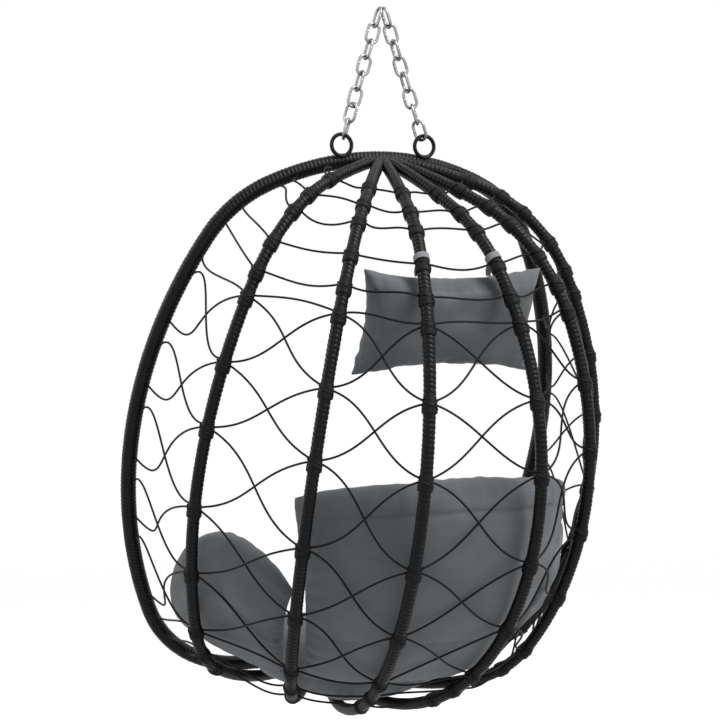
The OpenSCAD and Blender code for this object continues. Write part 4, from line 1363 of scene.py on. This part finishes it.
def wall_pad_place(mid_angle, half_angle, low, top, dome, thick, rim, taper=0.0, peak=0.0):
    """place(u, v, face) of a pad that leans on the basket's wall.

    Its angle follows u, more at the top by the taper. Its height runs from the lower seam to the upper one,
    which is at top - dome (u - peak)^2. Its depth from the wall is the rim's at the seam, and swells to the
    full thickness on the front and to nothing at the wall.
    """

    def place(u, v, face):
        full = swelling(u, v)
        u, v = rounded(u, v)
        angle = mid_angle - half_angle * u * draw_in(v, 0.04) * (1 + taper * v)
        y = low + (top - dome * (u - peak) ** 2 - low) * (1 + v) / 2
        depth = rim + (thick - rim if face > 0 else -rim) * full
        return on_basket(wall_radius(y, angle) - PAD_GAP - LACE_GAP - depth, y, angle)

    return place


def seat_place(u, v, face):
    """The seat pad lies on the basket's floor: its rim at the seam, and its full thickness in the middle."""
    x = SEAT_W / 2 * u * draw_in(v, 0.04)
    w = SEAT_BACK - SEAT_D / 2 + SEAT_D / 2 * v * draw_in(u, 0.04)
    rise = SEAT_RIM + (SEAT_T - SEAT_RIM if face > 0 else -SEAT_RIM) * swelling(u, v)
    height = floor_height(np.hypot(x, w), np.degrees(np.arctan2(np.maximum(0, w), x))) + PAD_GAP + rise
    return HUB + x[..., None] * SIDEWAYS + w[..., None] * BACK + height[..., None] * UP


def pillow_place(u, v, face):
    """The pillow is a rectangle drawn in between its corners, swelling to both sides."""
    across = PILLOW_W / 2 * u * draw_in(v, 0.07)
    ahead = face * PILLOW_T / 2 * swelling(u, v)
    up = PILLOW_H / 2 * v * draw_in(u, PILLOW_WAIST)
    off = across[..., None] * SIDEWAYS + ahead[..., None] * PILLOW_AHEAD + up[..., None] * PILLOW_UP
    return PILLOW_MIDDLE + off


class EGGCHAIR_OT_pads(Operator):
    """Fills the seat, back and arm pads"""

    bl_idname = "egg_chair.pads"
    bl_label = "Pads"

    def execute(self, context):
        swell = context.scene.egg_chair_sizes.swell
        back = wall_pad_place(90.0, BACK_HALF_ANGLE, BACK_LOW, BACK_TOP, BACK_DOME, BACK_T, BACK_RIM,
                              taper=BACK_TAPER)
        stuffed("back_cushion", back, BACK_W, BACK_TOP - BACK_LOW, 76, 66, swell, BACK_SEAMS, 3,
                "back_pad", pucker=0.0044, soft=0.008)
        for side, name in ((1, "left"), (-1, "right")):
            middle = ARM_ANGLE if side > 0 else 180 - ARM_ANGLE
            arm = wall_pad_place(middle, ARM_HALF_ANGLE, ARM_LOW, ARM_TOP, ARM_DOME, ARM_T, ARM_RIM,
                                 peak=-side * ARM_PEAK)
            stuffed(f"arm_cushion_{name}", arm, ARM_W, ARM_TOP - ARM_LOW, 48, 46, swell * 0.8, [],
                    5 + side, f"arm_pad_{name}")
        stuffed("seat_cushion", seat_place, SEAT_W, SEAT_D, 68, 46, swell * 0.8, [], 9, "seat_pad")
        return {"FINISHED"}


class EGGCHAIR_OT_pillow(Operator):
    """Fills the head pillow"""

    bl_idname = "egg_chair.pillow"
    bl_label = "Head Pillow"

    def execute(self, context):
        swell = context.scene.egg_chair_sizes.swell
        stuffed("pillow_cushion", pillow_place, PILLOW_W, PILLOW_H, 60, 38, swell * 0.8, PILLOW_SEAMS,
                12, "head_pillow")
        return {"FINISHED"}


def ribbon(line, across, out, width, thick):
    """A flat band with rounded edges along a line: an oval of 12 points, width by thick, at each place."""
    a = 2 * math.pi * np.arange(12) / 12
    x = np.sign(np.cos(a)) * np.abs(np.cos(a)) ** 0.5 * width[:, None] / 2
    y = np.sign(np.sin(a)) * np.abs(np.sin(a)) ** 0.5 * thick / 2 + 0 * x
    return line[:, None] + x[..., None] * across[:, None] + y[..., None] * out[:, None]


def band_faces(rings, closed, width):
    """Faces and UVs of rings of points, closed as a loop or by a fan at each end."""
    n, sides, _ = rings.shape
    index = np.arange(n * sides).reshape(n, sides)
    ahead = np.roll(index, -1, 1)
    length = np.append(0, np.cumsum(np.linalg.norm(np.diff(rings[:, 0], axis=0), axis=1)))
    u = np.linspace(0, 2 * width, sides + 1)
    if closed:
        quads = np.stack([index, ahead, np.roll(ahead, -1, 0), np.roll(index, -1, 0)], -1)
        v = np.append(length, length[-1] + length[1])
    else:
        quads = np.stack([index[:-1], ahead[:-1], ahead[1:], index[1:]], -1)
        v = length
    u0, v0 = np.meshgrid(u[:-1], v[:-1])
    u1, v1 = np.meshgrid(u[1:], v[1:])
    points = rings.reshape(-1, 3)
    faces, all_uvs = [quads.reshape(-1, 4)], [corner_uvs(u0, u1, v0, v1)]
    if not closed:
        poles = np.array([rings[0].mean(0), rings[-1].mean(0)])
        near = np.stack([np.full(sides, n * sides), ahead[0], index[0]], -1)
        far = np.stack([np.full(sides, n * sides + 1), index[-1], ahead[-1]], -1)
        points = np.concatenate([points, poles])
        faces.append(np.concatenate([near, far]))
        all_uvs.append(np.zeros((2 * sides, 3, 2)))
    return points, faces, all_uvs


class EGGCHAIR_OT_straps(Operator):
    """Puts the pillow's two straps round the centre ribs, each with a tail sewn into the pillow's seam"""

    bl_idname = "egg_chair.straps"
    bl_label = "Pillow Straps"

    def execute(self, context):
        for side, name in ((1, "left"), (-1, "right")):
            rib = 3 if side > 0 else 4
            path = rib_path(rib)
            middle, normal, around = path(np.array(STRAP_ALONG))
            down = np.cross(normal, around)
            a = np.linspace(0, 2 * math.pi, 48, endpoint=False)
            out = np.cos(a)[:, None] * normal + np.sin(a)[:, None] * around
            slip = 0.0008 * np.sin(a + 0.6)
            line = middle + (STRAP_R + STRAP_T * 0.5) * out + slip[:, None] * down
            across = np.broadcast_to(down, line.shape)
            loop = band_faces(ribbon(line, across, out, np.full(48, STRAP_W * 0.85), STRAP_T), True, STRAP_W)
            x = middle[0]
            seam = PILLOW_H / 2 * draw_in(2 * x / PILLOW_W, PILLOW_WAIST) - 0.006
            end = PILLOW_MIDDLE + x * SIDEWAYS + seam * PILLOW_UP
            start = middle + (STRAP_R + STRAP_T) * unit(end - middle)
            t = np.linspace(0, 1, 18)
            bow = 0.004 * np.sin(math.pi * t)
            tail_line = start + (end - start) * t[:, None] + bow[:, None] * PILLOW_AHEAD
            step = unit(np.gradient(tail_line, axis=0))
            turn = np.radians(90 * (1 - t) * 0.5)
            flat = np.cos(turn)[:, None] * SIDEWAYS + np.sin(turn)[:, None] * unit(np.cross(step, SIDEWAYS))
            facing = np.cross(flat, step)
            width = STRAP_W * (0.95 - 0.35 * t)
            tail = band_faces(ribbon(tail_line, flat, facing, width, STRAP_T), False, STRAP_W)
            obj = new_object(f"strap_{name}", *joined([loop, tail]))
            dress(obj, "basket", "grey_webbing", material("webbing"), f"pillow_strap_{name}")
        return {"FINISHED"}


# ---- Stage ----


def pale_material(name):
    """A pale floor that the camera sees as white where it is lit, and that keeps its shadows.

    It fades out between FLOOR_FADE's two distances from the origin, so that it has no horizon.
    """
    pale, tree, shader, at = base_material(name)
    shader.inputs["Base Color"].default_value = (0.82, 0.82, 0.82, 1)
    shader.inputs["Roughness"].default_value = 0.9
    glow = add(tree, "Emission", (5, 2), Strength=FLOOR_GLOW)
    ray = add(tree, "LightPath", (3, 2))
    nothing = add(tree, "Emission", (5, 3), Strength=0.0)
    pick = add(tree, "MixShader", (6, 2))
    both = add(tree, "AddShader", (8, 1))
    out = tree.nodes["Material Output"]
    out.location = (2000, 0)
    link = tree.links.new
    link(ray.outputs["Is Camera Ray"], pick.inputs[0])
    link(nothing.outputs[0], pick.inputs[1])
    link(glow.outputs[0], pick.inputs[2])
    link(shader.outputs[0], both.inputs[0])
    link(pick.outputs[0], both.inputs[1])
    far = add(tree, "VectorMath", (3, 4), operation="LENGTH")
    link(at.outputs["Object"], far.inputs[0])
    fade = add(tree, "MapRange", (5, 4), interpolation_type="SMOOTHSTEP")
    for key, value in zip(("From Min", "From Max", "To Min", "To Max"), (*FLOOR_FADE, 0.0, 1.0)):
        fade.inputs[key].default_value = value
    link(far.outputs["Value"], fade.inputs["Value"])
    clear = add(tree, "BsdfTransparent", (8, 3))
    edge = add(tree, "MixShader", (10, 2))
    link(fade.outputs[0], edge.inputs[0])
    link(both.outputs[0], edge.inputs[1])
    link(clear.outputs[0], edge.inputs[2])
    link(edge.outputs[0], out.inputs["Surface"])
    return pale


def area_light(name, place, target, size, power):
    """A square area lamp at a place, facing a target."""
    lamp = bpy.data.lights.new(name, "AREA")
    lamp.size = size
    lamp.energy = power
    obj = bpy.data.objects.new(name, lamp)
    obj.location = place
    obj.rotation_mode = "QUATERNION"
    obj.rotation_quaternion = (Vector(target) - Vector(place)).to_track_quat("-Z", "Y")
    bpy.context.scene.collection.objects.link(obj)
    return obj


class EGGCHAIR_OT_stage(Operator):
    """Sets the floor, the backdrop light, the lamps and the camera"""

    bl_idname = "egg_chair.stage"
    bl_label = "Stage"

    def execute(self, context):
        scene = context.scene
        scene.view_settings.view_transform = "Standard"
        lowest = CAD_BOX[0].z - FLOOR_DROP
        corners = [[x * FLOOR_HALF, y * FLOOR_HALF, lowest] for x, y in ((-1, -1), (1, -1), (1, 1), (-1, 1))]
        floor = new_object("floor", np.array(corners), [np.array([[0, 1, 2, 3]])], smooth=False)
        floor.data.materials.append(pale_material("Pale Floor"))

        world = scene.world or bpy.data.worlds.new("Studio")
        scene.world = world
        world.use_nodes = True
        tree = world.node_tree
        tree.nodes.clear()
        out = tree.nodes.new("ShaderNodeOutputWorld")
        soft = add(tree, "Background", (3, 0), Color=(1, 1, 1, 1), Strength=SKY_LIGHT)
        white = add(tree, "Background", (3, 1), Color=(1, 1, 1, 1), Strength=1.0)
        ray = add(tree, "LightPath", (1, 0))
        pick = add(tree, "MixShader", (5, 0))
        through = ray.outputs["Is Transmission Ray"]
        bounced = maths(tree, (2, 1), "MAXIMUM", ray.outputs["Is Glossy Ray"], through)
        seen = maths(tree, (2, 0), "MAXIMUM", ray.outputs["Is Camera Ray"], bounced)
        tree.links.new(seen, pick.inputs[0])
        tree.links.new(soft.outputs[0], pick.inputs[1])
        tree.links.new(white.outputs[0], pick.inputs[2])
        tree.links.new(pick.outputs[0], out.inputs["Surface"])

        for name, place, size, power in LAMPS:
            area_light(name, place, LAMP_TARGET, size, power)

        camera = bpy.data.cameras.new("view")
        camera.lens = CAMERA_LENS
        camera.sensor_width = SENSOR
        camera.clip_end = 100.0
        obj = bpy.data.objects.new("view", camera)
        az, el = math.radians(VIEW_AZIMUTH), math.radians(VIEW_ELEVATION)
        away = Vector((math.sin(az) * math.cos(el), -math.cos(az) * math.cos(el), math.sin(el)))
        obj.location = CAMERA_PLACE
        obj.rotation_mode = "QUATERNION"
        roll = Quaternion((0, 0, 1), math.radians(VIEW_ROLL))
        obj.rotation_quaternion = (-away).to_track_quat("-Z", "Y") @ roll
        scene.collection.objects.link(obj)
        scene.camera = obj
        return {"FINISHED"}


class EGGCHAIR_PT_panel(Panel):
    """Sizes, colours and the steps, in the order in which they run"""

    bl_label = "Egg Chair"
    bl_idname = "EGGCHAIR_PT_panel"
    bl_space_type = "VIEW_3D"
    bl_region_type = "UI"
    bl_category = "Egg Chair"

    def draw(self, context):
        column = self.layout.column()
        for group in (context.scene.egg_chair_sizes, context.scene.egg_chair_finish):
            for name in group.__annotations__:
                column.prop(group, name)
        for step in STEPS:
            column.operator(step.bl_idname)


STEPS = (
    EGGCHAIR_OT_stage,
    EGGCHAIR_OT_tubes,
    EGGCHAIR_OT_ring,
    EGGCHAIR_OT_ribs,
    EGGCHAIR_OT_knots,
    EGGCHAIR_OT_lacing,
    EGGCHAIR_OT_eyes,
    EGGCHAIR_OT_chains,
    EGGCHAIR_OT_pads,
    EGGCHAIR_OT_pillow,
    EGGCHAIR_OT_straps,
)
CLASSES = (EggChairSizes, EggChairFinish, *STEPS, EGGCHAIR_PT_panel)


def register():
    for cls in CLASSES:
        bpy.utils.register_class(cls)
    bpy.types.Scene.egg_chair_sizes = PointerProperty(type=EggChairSizes)
    bpy.types.Scene.egg_chair_finish = PointerProperty(type=EggChairFinish)


def unregister():
    del bpy.types.Scene.egg_chair_finish
    del bpy.types.Scene.egg_chair_sizes
    for cls in reversed(CLASSES):
        bpy.utils.unregister_class(cls)


def main():
    register()
    for step in STEPS:
        category, name = step.bl_idname.split(".")
        getattr(getattr(bpy.ops, category), name)()
    bpy.context.view_layer.update()


if __name__ == "__main__":
    main()
